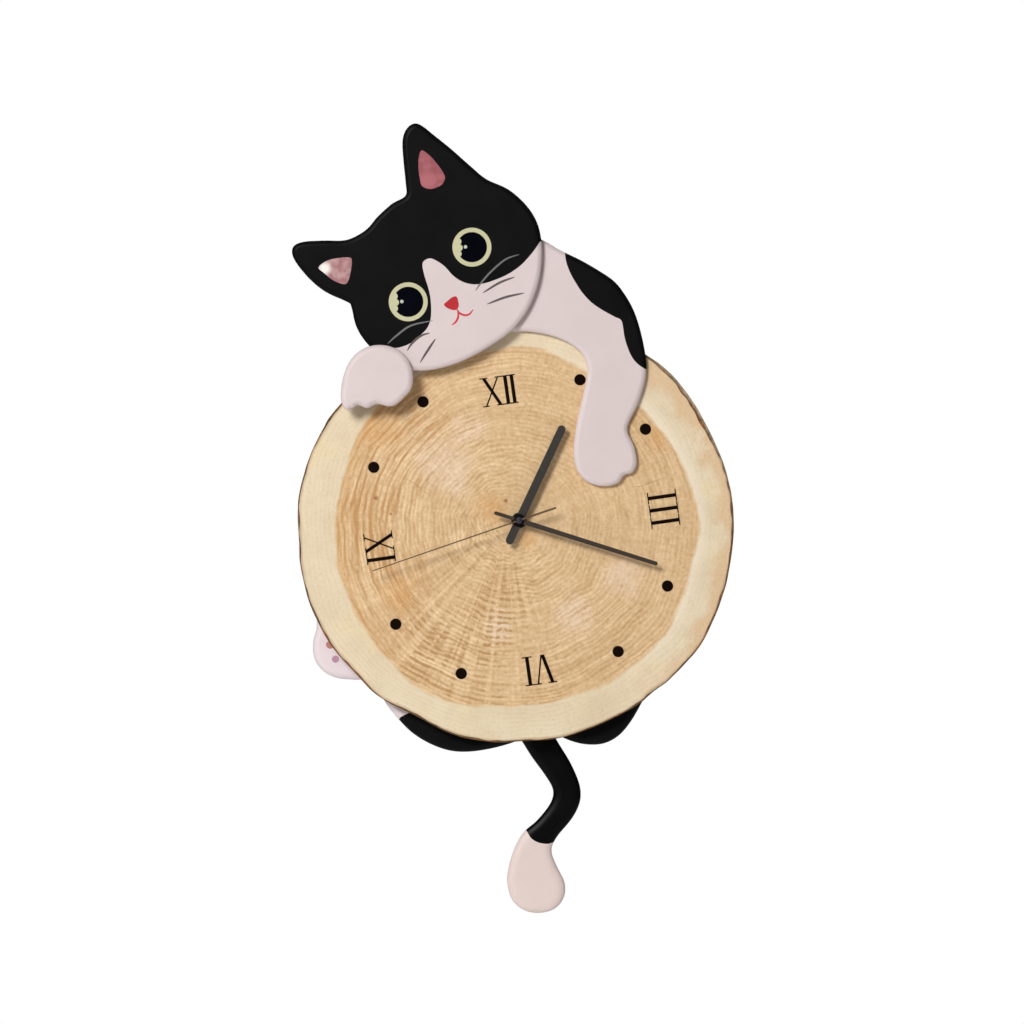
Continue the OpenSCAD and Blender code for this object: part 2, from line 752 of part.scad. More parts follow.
// Minute wheel, its cannon pinion and the pipe that carries the minute hand.
module minute_wheel() {
  color("ivory") stand() difference() {
    union() {
      wheel(64, minute_m, minute_level, third_dir + 180 / 64);
      board(minute_level + wheel_t, motion_level + wheel_t + 0.1) teeth(12, motion_m, motion_dir);
      bar(minute_pipe_r, minute_level, minute_z + hub_t);
    }
    bar(second_shaft_r + run, minute_level, minute_z + hub_t);
  }
}

// Motion wheel and its pinion, on the shaft of the setting knob.
module motion_wheel() {
  color("ivory") stand() {
    translate(motion_at) {
      wheel(36, motion_m, motion_level, motion_dir + 180 + 180 / 36);
      board(motion_level + wheel_t, hour_level + wheel_t + 0.2) teeth(10, hour_m, motion_dir + 180);
    }
    bar(second_shaft_r, middle_z, motion_boss_z + 0.9, motion_at);
    bar(knob_shaft_r, motion_shaft_z, middle_z + plate_t, motion_at);
  }
}

module setting_knob() {
  knob_r = 5;
  ribs = 24;
  rib_r = 0.4;
  knob_z0 = motion_shaft_z - 1.2;
  knob_z1 = 0.6;
  color("black") stand() difference() {
    union() {
      bar(knob_r - 0.3, knob_z0, knob_z1, motion_at);
      for (i = [0:ribs - 1])
        bar(rib_r, knob_z0 + 0.2, knob_z1 - 0.2, motion_at + along(knob_r - rib_r, 360 * i / ribs));
    }
    bar(knob_shaft_r, motion_shaft_z, knob_z1, motion_at);
  }
}

// Hour wheel and the pipe that carries the hour hand.
module hour_wheel() {
  color("ivory") stand() difference() {
    union() {
      wheel(40, hour_m, hour_level, motion_dir + 180 / 40);
      bar(hour_pipe_r, hour_level, hour_z + hub_t);
    }
    bar(minute_pipe_r + run, hour_level, hour_z + hub_t);
  }
}

// A flat hand that points up: length, width at the spindle and at the tip, and tail behind the spindle.
module blade(len, w0, w1, tail_len, tail_w) {
  hull() {
    translate([-w0 / 2, 0]) square([w0, 0.1]);
    translate([0, len - w1 / 2]) circle(r = w1 / 2, $fn = 32);
  }
  hull() {
    translate([-tail_w / 2, 0]) square([tail_w, 0.1]);
    translate([0, tail_w / 2 - tail_len]) circle(r = tail_w / 2, $fn = 32);
  }
}

module hour_hand() {
  color("dimgray") stand() rotate(-hour_at) difference() {
    union() {
      board(hour_z, hour_z + hand_t)
        blade(hour_len, hour_w, hour_w - 0.3, hour_tail, hour_w - 0.2);
      bar(hour_hub_r, hour_hub_z, hour_z + hub_t);
    }
    bar(hour_pipe_r, hour_hub_z, hour_z + hub_t);
  }
}

module minute_hand() {
  color("black") stand() rotate(-minute_at) difference() {
    union() {
      board(minute_z, minute_z + hand_t)
        blade(minute_len, minute_w, minute_tip_w, minute_tail, minute_tail_w);
      bar(minute_hub_r, minute_z, minute_z + hub_t);
    }
    bar(minute_pipe_r, minute_z, minute_z + hub_t);
  }
}

module second_hand() {
  color("black") stand() rotate(-second_at) difference() {
    union() {
      board(second_z, second_z + second_hand_t) blade(second_len, 1, 0.7, second_tail, 1.4);
      translate([0, 0, second_z]) rotate_extrude()
        polygon([[0, 0], [2.2, 0], [2.2, 0.8], [1.9, 1.3], [1.2, 1.7], [0, 1.9]]);
    }
    bar(second_shaft_r, second_z, second_z + second_hand_t);
  }
}

// Pendulum drive: a coil in the case and a magnet on the swinging lever.
module pendulum_coil() {
  color("peru") stand() bar(4.5, lever_z1 + drive_magnet_t + 0.9, inside_z1, [0, magnet_y - 0.6]);
}

module pivot_pin() {
  color("silver") stand() bar(pin_r, pin_z0, inside_z1, [0, pivot_y]);
}

module pendulum_lever() {
  color("ivory") stand() difference() {
    union() {
      board(lever_z0, lever_z1) {
        translate([0, pivot_y]) circle(r = lever_eye_r);
        translate([-lever_w / 2, eye_y - 1]) square([lever_w, pivot_y - eye_y + 1]);
        translate([0, eye_y - 1]) circle(r = lever_w / 2);
      }
      bar(peg_r, tail_z0 - rod_t - 0.8, lever_z0, [0, eye_y]);
      bar(2, tail_z0, lever_z0, [0, eye_y]);
    }
    bar(pin_r + run, lever_z0, lever_z1, [0, pivot_y]);
  }
}

module pendulum_magnet() {
  color("slategray") stand() bar(3.2, lever_z1, lever_z1 + drive_magnet_t, [0, magnet_y]);
}

// Flat steel rod that hangs on the lever's peg and is screwed to the back of the tail.
rod_w = 6;
tail_screw_at = [[0, -82], [0, -92]];
tail_screw_r = 1.2;
tail_screw_end = tail_z0 - rod_t + 5;

module pendulum_rod() {
  color("silver") stand() difference() {
    board(tail_z0 - rod_t, tail_z0) hull() for (y = [eye_y, rod_end_y])
      translate([0, y]) circle(r = rod_w / 2);
    bar(peg_r, tail_z0 - rod_t, tail_z0, [0, eye_y]);
    for (p = tail_screw_at) bar(tail_screw_r, tail_z0 - rod_t, tail_z0, p);
  }
}

module tail_screws() {
  color("silver") stand() for (p = tail_screw_at)
    screw(tail_screw_r, 2 * tail_screw_r, tail_z0 - rod_t, tail_screw_end, p);
}

// Tail: its root is hidden behind the slice and bends back under the pivot, so that it hangs in balance.
tail_edge = [[1, -150.5], [8.5, -162.3], [17.6, -174.8], [23, -185], [21, -194.5],
  [12, -206], [3, -214], [-3.5, -225], [-7.8, -239], [-8.6, -250], [-5.2, -261.3], [3.2, -268.4],
  [13.5, -270.3], [24.5, -267.2], [30.8, -258.7], [30.8, -248.5], [25.5, -237.5], [22, -227],
  [25.8, -217.5], [36, -205], [41.6, -193.5], [41.6, -182], [35.6, -167], [27.2, -153], [19, -139],
  [12, -126], [7, -110], [7, -96], [9.5, -82], [9, -70], [3, -64], [-7, -65.5], [-18, -72],
  [-32, -79.5], [-45.2, -90.3], [-51.8, -105], [-49.8, -121], [-39.5, -133], [-26, -134.5],
  [-14, -136], [-5, -142]];

module tail() {
  color("dimgray") stand() difference() {
    on_slice() rounded_board(curve(tail_edge, 3), tail_z0, tail_z1, edge_r, both = true);
    for (p = tail_screw_at) bar(tail_screw_r, tail_z0, tail_screw_end, p);
  }
}

wood_slice();
numeral_xii();
numeral_iii();
numeral_vi();
numeral_ix();
hour_dots();
shoulder_and_arm();
head();
left_paw();
paw_spacer();
body_and_hind_foot();
body_screws();
wall_bumpers();
hanger_plate();
hanger_rivets();
movement_case();
back_cover();
cover_screws();
gasket();
spindle_bush();
bush_nut();
middle_plate();
train_bridge();
bridge_screws();
battery();
positive_contact();
negative_contact();
circuit_board();
quartz_crystal();
motor_coil();
stator();
rotor();
intermediate_wheel();
second_wheel();
third_wheel();
minute_wheel();
motion_wheel();
setting_knob();
hour_wheel();
hour_hand();
minute_hand();
second_hand();
pendulum_coil();
pivot_pin();
pendulum_lever();
pendulum_magnet();
pendulum_rod();
tail_screws();
tail();
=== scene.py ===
"""Cat tail clock: a slice of tree with a painted cat over it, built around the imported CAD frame."""

import json
import math
import random

import bpy
import numpy as np
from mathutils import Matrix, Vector
from mathutils.geometry import delaunay_2d_cdt


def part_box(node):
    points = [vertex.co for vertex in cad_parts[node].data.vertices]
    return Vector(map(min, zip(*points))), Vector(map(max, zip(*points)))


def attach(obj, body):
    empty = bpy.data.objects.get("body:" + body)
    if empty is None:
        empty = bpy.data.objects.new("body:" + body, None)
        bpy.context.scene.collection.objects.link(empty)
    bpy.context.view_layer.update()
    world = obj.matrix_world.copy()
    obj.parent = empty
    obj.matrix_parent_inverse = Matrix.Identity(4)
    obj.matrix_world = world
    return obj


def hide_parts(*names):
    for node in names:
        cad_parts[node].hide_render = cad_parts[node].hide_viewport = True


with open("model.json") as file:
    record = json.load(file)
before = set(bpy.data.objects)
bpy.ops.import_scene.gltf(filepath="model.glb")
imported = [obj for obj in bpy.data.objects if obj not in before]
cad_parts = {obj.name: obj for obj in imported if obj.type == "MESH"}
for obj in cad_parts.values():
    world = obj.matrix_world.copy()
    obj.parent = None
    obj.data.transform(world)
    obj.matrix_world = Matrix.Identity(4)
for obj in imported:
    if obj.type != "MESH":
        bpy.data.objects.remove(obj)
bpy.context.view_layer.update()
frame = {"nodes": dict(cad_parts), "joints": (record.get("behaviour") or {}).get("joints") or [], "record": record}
scene = bpy.context.scene
MM = 0.001

# The boards are drawn in millimetres from the middle of the slice, X to the right and Z up.
SPINDLE_TO_MIDDLE = (0.5, -2.0)
spindle = next(j for j in frame["joints"] if j["name"] == "minute_turn")["pos_m"]
MIDDLE = np.array([spindle[0] / MM + SPINDLE_TO_MIDDLE[0], spindle[2] / MM + SPINDLE_TO_MIDDLE[1]])


# ---------------------------------------------------------------- flat geometry

SAME_LEVEL = 0.002      # corners this near a level, in millimetres, lie on it


def outline(node, depth):
    """The longest loop of edges of a CAD board at that depth (mm, towards the room), anticlockwise."""
    mesh = frame["nodes"][node].data
    at = [tuple(round(c / MM, 4) for c in v.co) for v in mesh.vertices]
    flat, upright = {}, {}
    for p in mesh.polygons:
        ring = [at[i] for i in p.vertices]
        on = [abs(-q[1] - depth) < SAME_LEVEL for q in ring]
        count = flat if all(on) else upright
        for i, q in enumerate(ring):
            j = (i + 1) % len(ring)
            if on[i] and on[j] and q != ring[j]:
                e = frozenset((q, ring[j]))
                count[e] = count.get(e, 0) + 1
    near = {}
    for e in upright:
        a, b = tuple(e)
        near.setdefault(a, []).append(b)
        near.setdefault(b, []).append(a)
    loops, left = [], set(near)
    while left:
        start = min(left)
        loop, here, last = [start], start, None
        left.discard(start)
        while True:
            onward = [q for q in near[here] if q != last and q in left]
            if not onward:
                break
            last, here = here, onward[0]
            left.discard(here)
            loop.append(here)
        loops.append(loop)
    best = max(loops, key=len)
    pts = np.array([(q[0], q[2]) for q in best]) - MIDDLE
    return pts if area(pts) > 0 else pts[::-1]


def area(p):
    """Signed area of a closed outline."""
    q = np.roll(p, -1, axis=0)
    return 0.5 * float(np.sum(p[:, 0] * q[:, 1] - q[:, 0] * p[:, 1]))


def smooth(p, n, closed=True):
    """The curve through the points p, with n steps between each two."""
    p = np.asarray(p, float)
    if closed:
        a, b, c, d = np.roll(p, 1, 0), p, np.roll(p, -1, 0), np.roll(p, -2, 0)
    else:
        ends = np.vstack([2 * p[0] - p[1], p, 2 * p[-1] - p[-2]])
        a, b, c, d = ends[:-3], ends[1:-2], ends[2:-1], ends[3:]
    steps = [0.5 * (2 * b + (c - a) * t + (2 * a - 5 * b + 4 * c - d) * t * t
                    + (3 * b - a - 3 * c + d) * t ** 3) for t in np.arange(n) / n]
    out = np.stack(steps, axis=1).reshape(-1, 2)
    return out if closed else np.vstack([out, p[-1:]])


def circle(centre, r, n=40, squash=1.0):
    """A circle, or with squash a lower ellipse."""
    t = np.arange(n) * 2 * math.pi / n
    return np.stack([r * np.cos(t), r * squash * np.sin(t)], 1) + centre


def stroke(points, width, n=6):
    """A painted line along the points, thin at both ends."""
    p = smooth(points, n, closed=False)
    way = np.gradient(p, axis=0)
    side = np.stack([-way[:, 1], way[:, 0]], 1) / np.linalg.norm(way, axis=1)[:, None]
    t = np.linspace(0, 1, len(p))
    half = 0.5 * width * (0.25 + 0.75 * np.sin(math.pi * t) ** 0.6)
    return np.vstack([p + side * half[:, None], (p - side * half[:, None])[::-1]])


def inward(loop):
    """The unit direction into the loop at each of its points."""
    along = np.roll(loop, -1, 0) - np.roll(loop, 1, 0)
    return np.stack([-along[:, 1], along[:, 0]], 1) / np.linalg.norm(along, axis=1)[:, None]


def inside(pts, loop):
    """Which of the points lie inside the closed loop."""
    a, b = loop, np.roll(loop, -1, 0)
    hit = np.zeros(len(pts), bool)
    for (x0, z0), (x1, z1) in zip(a, b):
        cross = (z0 > pts[:, 1]) != (z1 > pts[:, 1])
        if cross.any():
            x = x0 + (pts[:, 1] - z0) * (x1 - x0) / (z1 - z0 if z1 != z0 else 1e-9)
            hit ^= cross & (pts[:, 0] < x)
    return hit


ON_THE_LOOP = 1e-3      # millimetres


def to_edge(pts, loop):
    """Distance of each point from the loop, and the unit direction away from its nearest place."""
    a, b = loop, np.roll(loop, -1, 0)
    ab = b - a
    length = np.maximum((ab ** 2).sum(1), 1e-12)
    best = np.full(len(pts), 1e9)
    near = np.zeros((len(pts), 2))
    for i in range(len(a)):
        t = np.clip(((pts - a[i]) @ ab[i]) / length[i], 0, 1)
        q = a[i] + t[:, None] * ab[i]
        d = np.linalg.norm(pts - q, axis=1)
        m = d < best
        best[m], near[m] = d[m], q[m]
    way = pts - near
    n = np.linalg.norm(way, axis=1)
    rim = n < ON_THE_LOOP
    if rim.any():
        k = ((pts[rim][:, None, :] - loop[None]) ** 2).sum(2).argmin(1)
        way[rim], n[rim] = inward(loop)[k], 1.0
    return best, way / n[:, None]


RING_KEEP = 0.93        # part of its inset that a ring's point must keep from every side of the loop
GRID_GAP = 0.55         # room between the last ring and the grid, in grid spacings
ROW_STEP = 0.866        # height of a grid row, in grid spacings
THIN = 1e-7             # twice the area of a triangle too thin to keep, in square millimetres


def triangulate(loop, insets, spacing, lines, holes=()):
    """Points and triangles that fill the loop, with rings along its edge, and every painted line kept."""
    pts, edges = [], []

    def add(poly):
        k = len(pts)
        pts.extend(map(tuple, poly))
        edges.extend((k + i, k + (i + 1) % len(poly)) for i in range(len(poly)))

    add(loop)
    for h in holes:
        add(h)
    for d in insets:
        q = loop + inward(loop) * d
        gap, _ = to_edge(q, loop)
        pts.extend(map(tuple, q[(gap > RING_KEEP * d) & inside(q, loop)]))
    lo, hi = loop.min(0), loop.max(0)
    rows = np.arange(lo[1], hi[1], spacing * ROW_STEP)
    grid = np.array([(x + (k % 2) * spacing / 2, z) for k, z in enumerate(rows)
                     for x in np.arange(lo[0], hi[0], spacing)])
    grid = grid[inside(grid, loop)]
    gap, _ = to_edge(grid, loop)
    grid = grid[gap > (insets[-1] if len(insets) else 0) + spacing * GRID_GAP]
    for h in holes:
        grid = grid[~inside(grid, h)]
    pts.extend(map(tuple, grid))
    for line in lines:
        add(line)
    found, _, faces, *_ = delaunay_2d_cdt([Vector(p) for p in pts], edges, [], 0, 1e-5)
    v = np.array([tuple(p) for p in found])
    f = np.array([t for t in faces if len(t) == 3])
    middle = v[f].mean(1)
    keep = inside(middle, loop)
    for h in holes:
        keep &= ~inside(middle, h)
    f = f[keep]
    a, b, c = v[f[:, 0]], v[f[:, 1]], v[f[:, 2]]
    turn = (b[:, 0] - a[:, 0]) * (c[:, 1] - a[:, 1]) - (b[:, 1] - a[:, 1]) * (c[:, 0] - a[:, 0])
    thick = np.abs(turn) > THIN
    f, turn = f[thick], turn[thick]
    f[turn < 0] = f[turn < 0][:, ::-1]
    used = np.unique(f)
    back = np.full(len(v), -1)
    back[used] = np.arange(len(used))
    return v[used], back[f]


def rim_of(f):
    """The open edges of the triangles, each in the direction its triangle runs, with that one's number."""
    seen = {}
    for k, t in enumerate(f):
        for i in range(3):
            seen[(t[i], t[(i + 1) % 3])] = k
    return {e: k for e, k in seen.items() if (e[1], e[0]) not in seen}


def rim_points(rim):
    """The rim's points in rising order, and the place of each in that order."""
    ids = sorted({i for e in rim for i in e})
    return ids, {i: k for k, i in enumerate(ids)}


def facing(slope, way):
    """Shading normals of a front that falls off with that slope as it nears its edge."""
    lean = np.concatenate([-slope[:, None] * way, np.ones((len(way), 1))], 1)
    lean /= np.linalg.norm(lean, axis=1)[:, None]
    return np.stack([lean[:, 0], -lean[:, 2], lean[:, 1]], 1)


def reverse(f, start):
    """The same triangles seen from behind, on points numbered from start."""
    return [[t[2] + start, t[1] + start, t[0] + start] for t in f]


TO_BACK = np.array([1, -1, 1])      # turns a front's normals into its back's


def place(v, depth):
    """Points of the row frame, in metres, from drawn points and their depths in millimetres."""
    x = (v[:, 0] + MIDDLE[0]) * MM
    z = (v[:, 1] + MIDDLE[1]) * MM
    return np.stack([x, -np.asarray(depth) * MM * np.ones(len(v)), z], 1)


def build(name, co, faces, mats, index, normals, layers):
    """A mesh object with its own shading normals and named per-point values."""
    mesh = bpy.data.meshes.new(name)
    mesh.from_pydata([tuple(p) for p in co], [], [tuple(int(i) for i in t) for t in faces])
    for m in mats:
        mesh.materials.append(m)
    mesh.polygons.foreach_set("material_index", np.asarray(index, np.int32))
    mesh.polygons.foreach_set("use_smooth", np.ones(len(faces), bool))
    for key, values in layers.items():
        mesh.attributes.new(key, "FLOAT", "POINT").data.foreach_set("value", np.asarray(values, np.float32))
    mesh.update()
    mesh.normals_split_custom_set_from_vertices([tuple(n) for n in normals])
    obj = bpy.data.objects.new(name, mesh)
    scene.collection.objects.link(obj)
    return obj


STEEPEST = 1e-4         # keeps the slope at the very edge finite
LEAD_IN = 4             # the lead's slope is full at one part in so many of the width


def rounding(d, width, depth, lead=0.0):
    """How far a rounded edge lies below the face, at the distance d from the outline, and its slope there.

    lead is the slope it starts with, where it leaves the face.
    """
    f = np.clip(1 - d / width, 0, 1)
    s = np.sqrt(np.maximum(1 - f * f, STEEPEST))
    drop = depth * (1 - s) + lead * width * f
    return drop, np.where(f > 0, depth / width * f / s + lead * np.clip(f * LEAD_IN, 0, 1), 0)


EDGE_LEAD = 0.2         # slope with which the boards' faces turn into their edges
RING_ANGLES = [20, 38, 54, 68, 80, 90]      # of the rounding, where rings of points follow the edge
BACK_EASE = 0.5         # small bevel round a back
BACK_SPACING = 9.0      # grid of a plain back
SIDE_LEAN, BEVEL_LEAN = (0.97, 0.2), 0.9    # how the normals of side and bevel lean to the back


def depths(node):
    """The depths of a node's back and front, in millimetres."""
    low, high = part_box(node)
    return -high.y / MM, -low.y / MM


def board(name, node, base, paint, width, depth, spacing=2.4, level=0.0, both=False):
    """A painted board: flat or domed face, rounded edge, upright side and a plain back.

    base is its ground coat, and paint a list of (closed line, material) in which each covers what is under
    it. The edge is rounded over that width and depth. level is the height above the back at which the CAD
    board's outline is taken. With both, front and back are alike.
    """
    z0, z1 = depths(node)
    mats = list(dict.fromkeys([base] + [coat for _, coat in paint] + ([] if both else [BACK])))
    drawn_edge = outline(node, z0 + level)
    loop = np.clip(smooth(drawn_edge, 3), drawn_edge.min(0), drawn_edge.max(0))
    steps = width * (1 - np.cos(np.radians(RING_ANGLES)))
    v, f = triangulate(loop, steps, spacing, [line for line, _ in paint])
    d, way = to_edge(v, loop)
    drop, slope = rounding(d, width, depth, 0.0 if both else EDGE_LEAD)
    middle = v[f].mean(1)
    index = np.zeros(len(f), int)
    for line, coat in paint:
        index[inside(middle, line)] = mats.index(coat)
    normals = facing(slope, way)
    faces = [list(t) for t in f]
    colours = list(index)
    co, nm = [place(v, z1 - drop)], [normals]
    n = len(v)
    rim = rim_of(f)
    if both:
        co.append(place(v, z0 + drop))
        nm.append(normals * TO_BACK)
        faces += reverse(f, n)
        colours += list(index)
        for (a, b), k in rim.items():
            faces.append([b, a, a + n, b + n])
            colours.append(index[k])
    else:
        ring, number = rim_points(rim)
        m = len(ring)
        away = np.stack([-way[ring][:, 0], np.zeros(m), -way[ring][:, 1]], 1)
        soft = v[ring] + way[ring] * BACK_EASE
        co += [place(v[ring], z0 + BACK_EASE), place(soft, z0)]
        tilt = away + np.array([0, BEVEL_LEAN, 0])
        nm.append(away * SIDE_LEAN[0] + np.array([0, SIDE_LEAN[1], 0]))
        nm.append(tilt / np.linalg.norm(tilt, axis=1)[:, None])
        for (a, b), k in rim.items():
            i, j = number[a] + n, number[b] + n
            faces.append([b, a, i, j])
            faces.append([j, i, i + m, j + m])
            colours += [index[k]] * 2
        cap_v, cap_f = triangulate(np.array([soft[number[a]] for a in order(rim)]), [], BACK_SPACING, [])
        co.append(place(cap_v, z0))
        nm.append(np.tile([0, 1, 0], (len(cap_v), 1)))
        faces += reverse(cap_f, n + 2 * m)
        colours += [mats.index(BACK)] * len(cap_f)
    obj = build(name, np.vstack(co), faces, mats, colours, np.vstack(nm), {})
    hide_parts(node)
    return obj


def order(rim):
    """The rim's points, one after another along the longest loop."""
    after = {a: b for a, b in rim}
    best, left = [], set(after)
    while left:
        here = start = min(left)
        loop = []
        while here in left:
            loop.append(here)
            left.discard(here)
            here = after[here]
        if len(loop) > len(best):
            best = loop
    return best


# ---------------------------------------------------------------- materials

# On the face of the slice: the pith, and patches as (x, z, radius).
PITH = np.array([-7.8, 0.0])
KNOTS = [(-99.3, 17.4, 2.4), (-9.6, 15.6, 2.1), (-89, 6.5, 1.5)]
RUDDY = [(-84, -49, 19), (42, 57, 16), (5, -12, 8), (-98, 60, 18), (96, 60, 14), (-20, 8, 16)]
CREAMY = [(-52, 40, 26), (-38, 62, 18), (69, -39, 17), (36, -66, 20), (-12, -70, 14)]
# Sides of the slice, seen from the pith: direction, where the side ends and where it is full, in degrees.
WOVEN_SIDE, STREAKED_SIDE, CALM_SIDE, STAINED_SIDE = (-112, 50, 20), (172, 66, 26), (20, 80, 30), (12, 75, 40)
WOVEN_AT = 0.45         # how far from pith to bark the rays cross the rings most clearly
YEARS, BROAD_YEARS = 50, 33


def lin(r, g, b):
    """Scene colour from an everyday 0 to 255 one."""
    def one(c):
        c /= 255
        return c / 12.92 if c <= 0.04045 else ((c + 0.055) / 1.055) ** 2.4
    return (one(r), one(g), one(b), 1.0)


COLOUR_A, COLOUR_B, COLOUR_OUT = 6, 7, 2    # the mix node's colour sockets, among those of other kinds


class Look:
    """A node material under construction."""

    def __init__(self, name, roughness=0.5, metallic=0.0, specular=0.5, coat=0.0):
        self.material = bpy.data.materials.new(name)
        self.material.use_nodes = True
        self.tree = self.material.node_tree
        self.shader = self.tree.nodes["Principled BSDF"]
        self.set(self.shader, "Roughness", roughness)
        self.set(self.shader, "Metallic", metallic)
        self.set(self.shader, "Specular IOR Level", specular)
        self.set(self.shader, "Coat Weight", coat)
        self.place = self.node("ShaderNodeTexCoord").outputs["Object"]

    def node(self, kind, **values):
        n = self.tree.nodes.new(kind)
        for k, v in values.items():
            setattr(n, k, v)
        return n

    def set(self, node, key, value):
        """Puts a number or colour, or another node's output, into a socket."""
        socket = node.inputs[key]
        if isinstance(value, bpy.types.NodeSocket):
            self.tree.links.new(value, socket)
        else:
            socket.default_value = value

    def value(self, key):
        """A per-point value of the mesh."""
        return self.node("ShaderNodeAttribute", attribute_name=key).outputs["Fac"]

    def noise(self, scale, detail=3.0, rough=0.5, vector=None):
        n = self.node("ShaderNodeTexNoise")
        self.set(n, "Vector", self.place if vector is None else vector)
        for k, v in (("Scale", scale), ("Detail", detail), ("Roughness", rough)):
            self.set(n, k, v)
        return n.outputs["Fac"]

    def stretch(self, x, y, z):
        """Object coordinates scaled along each axis."""
        n = self.node("ShaderNodeVectorMath", operation="MULTIPLY")
        self.set(n, 0, self.place)
        self.set(n, 1, (x, y, z))
        return n.outputs[0]

    def away_from(self, at, flat=False):
        """Distance from a place, or with flat from the line through it that runs front to back."""
        here = self.stretch(1, 0, 1) if flat else self.place
        n = self.node("ShaderNodeVectorMath", operation="DISTANCE")
        self.set(n, 0, here)
        self.set(n, 1, (at[0], 0 if flat else at[1], at[2]))
        return n.outputs["Value"]

    def along(self, axis):
        """One object coordinate."""
        n = self.node("ShaderNodeSeparateXYZ")
        self.set(n, 0, self.place)
        return n.outputs[axis]

    def sum(self, op, a, b=0.0):
        n = self.node("ShaderNodeMath", operation=op)
        self.set(n, 0, a)
        self.set(n, 1, b)
        return n.outputs[0]

    def times(self, a, b):
        return self.sum("MULTIPLY", a, b)

    def plus(self, a, b):
        return self.sum("ADD", a, b)

    def span(self, x, a, b, c=0.0, d=1.0, kind="LINEAR"):
        """x from a..b mapped to c..d and held there."""
        n = self.node("ShaderNodeMapRange", interpolation_type=kind)
        for k, v in (("Value", x), ("From Min", a), ("From Max", b), ("To Min", c), ("To Max", d)):
            self.set(n, k, v)
        return n.outputs["Result"]

    def mix(self, fac, a, b, kind="MIX"):
        n = self.node("ShaderNodeMix", data_type="RGBA", blend_type=kind)
        self.set(n, "Factor", fac)
        self.set(n, COLOUR_A, a)
        self.set(n, COLOUR_B, b)
        return n.outputs[COLOUR_OUT]

    def bump(self, height, strength, distance):
        n = self.node("ShaderNodeBump")
        self.set(n, "Height", height)
        self.set(n, "Strength", strength)
        self.set(n, "Distance", distance)
        self.set(self.shader, "Normal", n.outputs["Normal"])

    def finish(self, colour, roughness=None):
        self.set(self.shader, "Base Color", colour)
        if roughness is not None:
            self.set(self.shader, "Roughness", roughness)
        return self.material


def drawn(x, z, depth):
    """A drawn point in the row frame, in metres."""
    return ((x + MIDDLE[0]) * MM, -depth * MM, (z + MIDDLE[1]) * MM)


def scaled(colour, k):
    """A colour made lighter or darker."""
    return tuple(min(1.0, c * k) for c in colour[:3]) + (1.0,)


def paint(name, colour, spread=0.05, rough=(0.42, 0.54), grain=0.25, specular=0.35):
    """Satin brushed or sprayed paint on board: faint cloudiness, and the fine texture of its film."""
    m = Look(name, specular=specular)
    cloud = m.noise(38, 4, 0.55)
    film = m.noise(900, 3, 0.6)
    fibre = m.noise(1, 4, 0.6, m.stretch(150, 150, 620))
    tone = m.plus(m.times(cloud, 0.7), m.times(film, 0.3))
    shade = m.mix(m.span(tone, 0.35, 0.65), scaled(colour, 1 - spread), scaled(colour, 1 + spread))
    m.bump(m.plus(m.times(film, 0.6), fibre), grain, 0.00012)
    return m.finish(shade, m.span(cloud, 0.3, 0.7, *rough))


def metal(name, colour, rough, along=(60, 60, 900), strength=0.12):
    """Bare or plated metal with fine drawn lines and uneven gloss."""
    m = Look(name, metallic=1.0)
    lines = m.noise(1, 3, 0.6, m.stretch(*along))
    cloud = m.noise(120, 3)
    m.bump(lines, strength, 0.00004)
    shade = m.mix(m.span(cloud, 0.3, 0.7), scaled(colour, 0.86), scaled(colour, 1.1))
    return m.finish(shade, m.span(lines, 0.3, 0.7, rough * 0.8, rough * 1.25))


def plastic(name, colour, rough=0.45, texture=1500, strength=0.3, spread=0.06):
    """Moulded plastic: an even colour with a fine spark-eroded texture."""
    m = Look(name, specular=0.45)
    pits = m.noise(texture, 2, 0.5)
    cloud = m.noise(70, 2)
    m.bump(pits, strength, 0.00006)
    shade = m.mix(cloud, scaled(colour, 1 - spread), scaled(colour, 1 + spread))
    return m.finish(shade, m.span(pits, 0.3, 0.7, rough * 0.9, rough * 1.15))


def rubber(name, colour):
    m = Look(name, specular=0.25)
    bits = m.noise(700, 4, 0.65)
    m.bump(bits, 0.35, 0.0001)
    shade = m.mix(m.noise(90), scaled(colour, 0.8), scaled(colour, 1.25))
    return m.finish(shade, m.span(bits, 0.3, 0.7, 0.7, 0.9))


def winding(name, colour, axis, pitch):
    """Fine enamelled wire wound round an axis, darker between the turns as painted shade and lighter on them as
    painted highlight.
    """
    m = Look(name, metallic=0.9)
    turns = m.sum("SINE", m.times(m.along(axis), 2 * math.pi / pitch))
    m.bump(turns, 0.6, 0.00006)
    cloud = m.noise(200, 3)
    # painted shade in the grooves between the turns and painted highlight on their crowns, following the bump
    shade = m.mix(m.span(m.plus(turns, cloud), -0.6, 1.4), scaled(colour, 0.55), scaled(colour, 1.15))
    return m.finish(shade, m.span(cloud, 0.3, 0.7, 0.3, 0.42))


def cell_sleeve(name):
    """Printed sleeve of the cell: a dark band by the button, an orange body and bare steel ends."""
    m = Look(name, specular=0.5)
    low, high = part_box("battery")
    x = m.along(0)      # the cell lies along X, and the distances below are from its ends
    cloud = m.noise(150, 3)
    band = m.span(x, high.x - 0.0175, high.x - 0.0172)
    button, base = m.span(x, high.x - 0.0021, high.x - 0.0020), m.span(x, low.x + 0.0011, low.x + 0.0010)
    ends = m.sum("MAXIMUM", button, base)
    body = m.mix(m.span(cloud, 0.3, 0.7), lin(196, 104, 30), lin(208, 116, 40))
    sleeve = m.mix(band, body, m.mix(cloud, lin(20, 20, 22), lin(34, 34, 36)))
    m.set(m.shader, "Metallic", m.span(ends, 0, 1, 0.25, 1.0))
    m.bump(m.noise(500, 2), 0.08, 0.00005)
    return m.finish(m.mix(ends, sleeve, lin(186, 186, 184)), m.span(cloud, 0.3, 0.7, 0.26, 0.36))


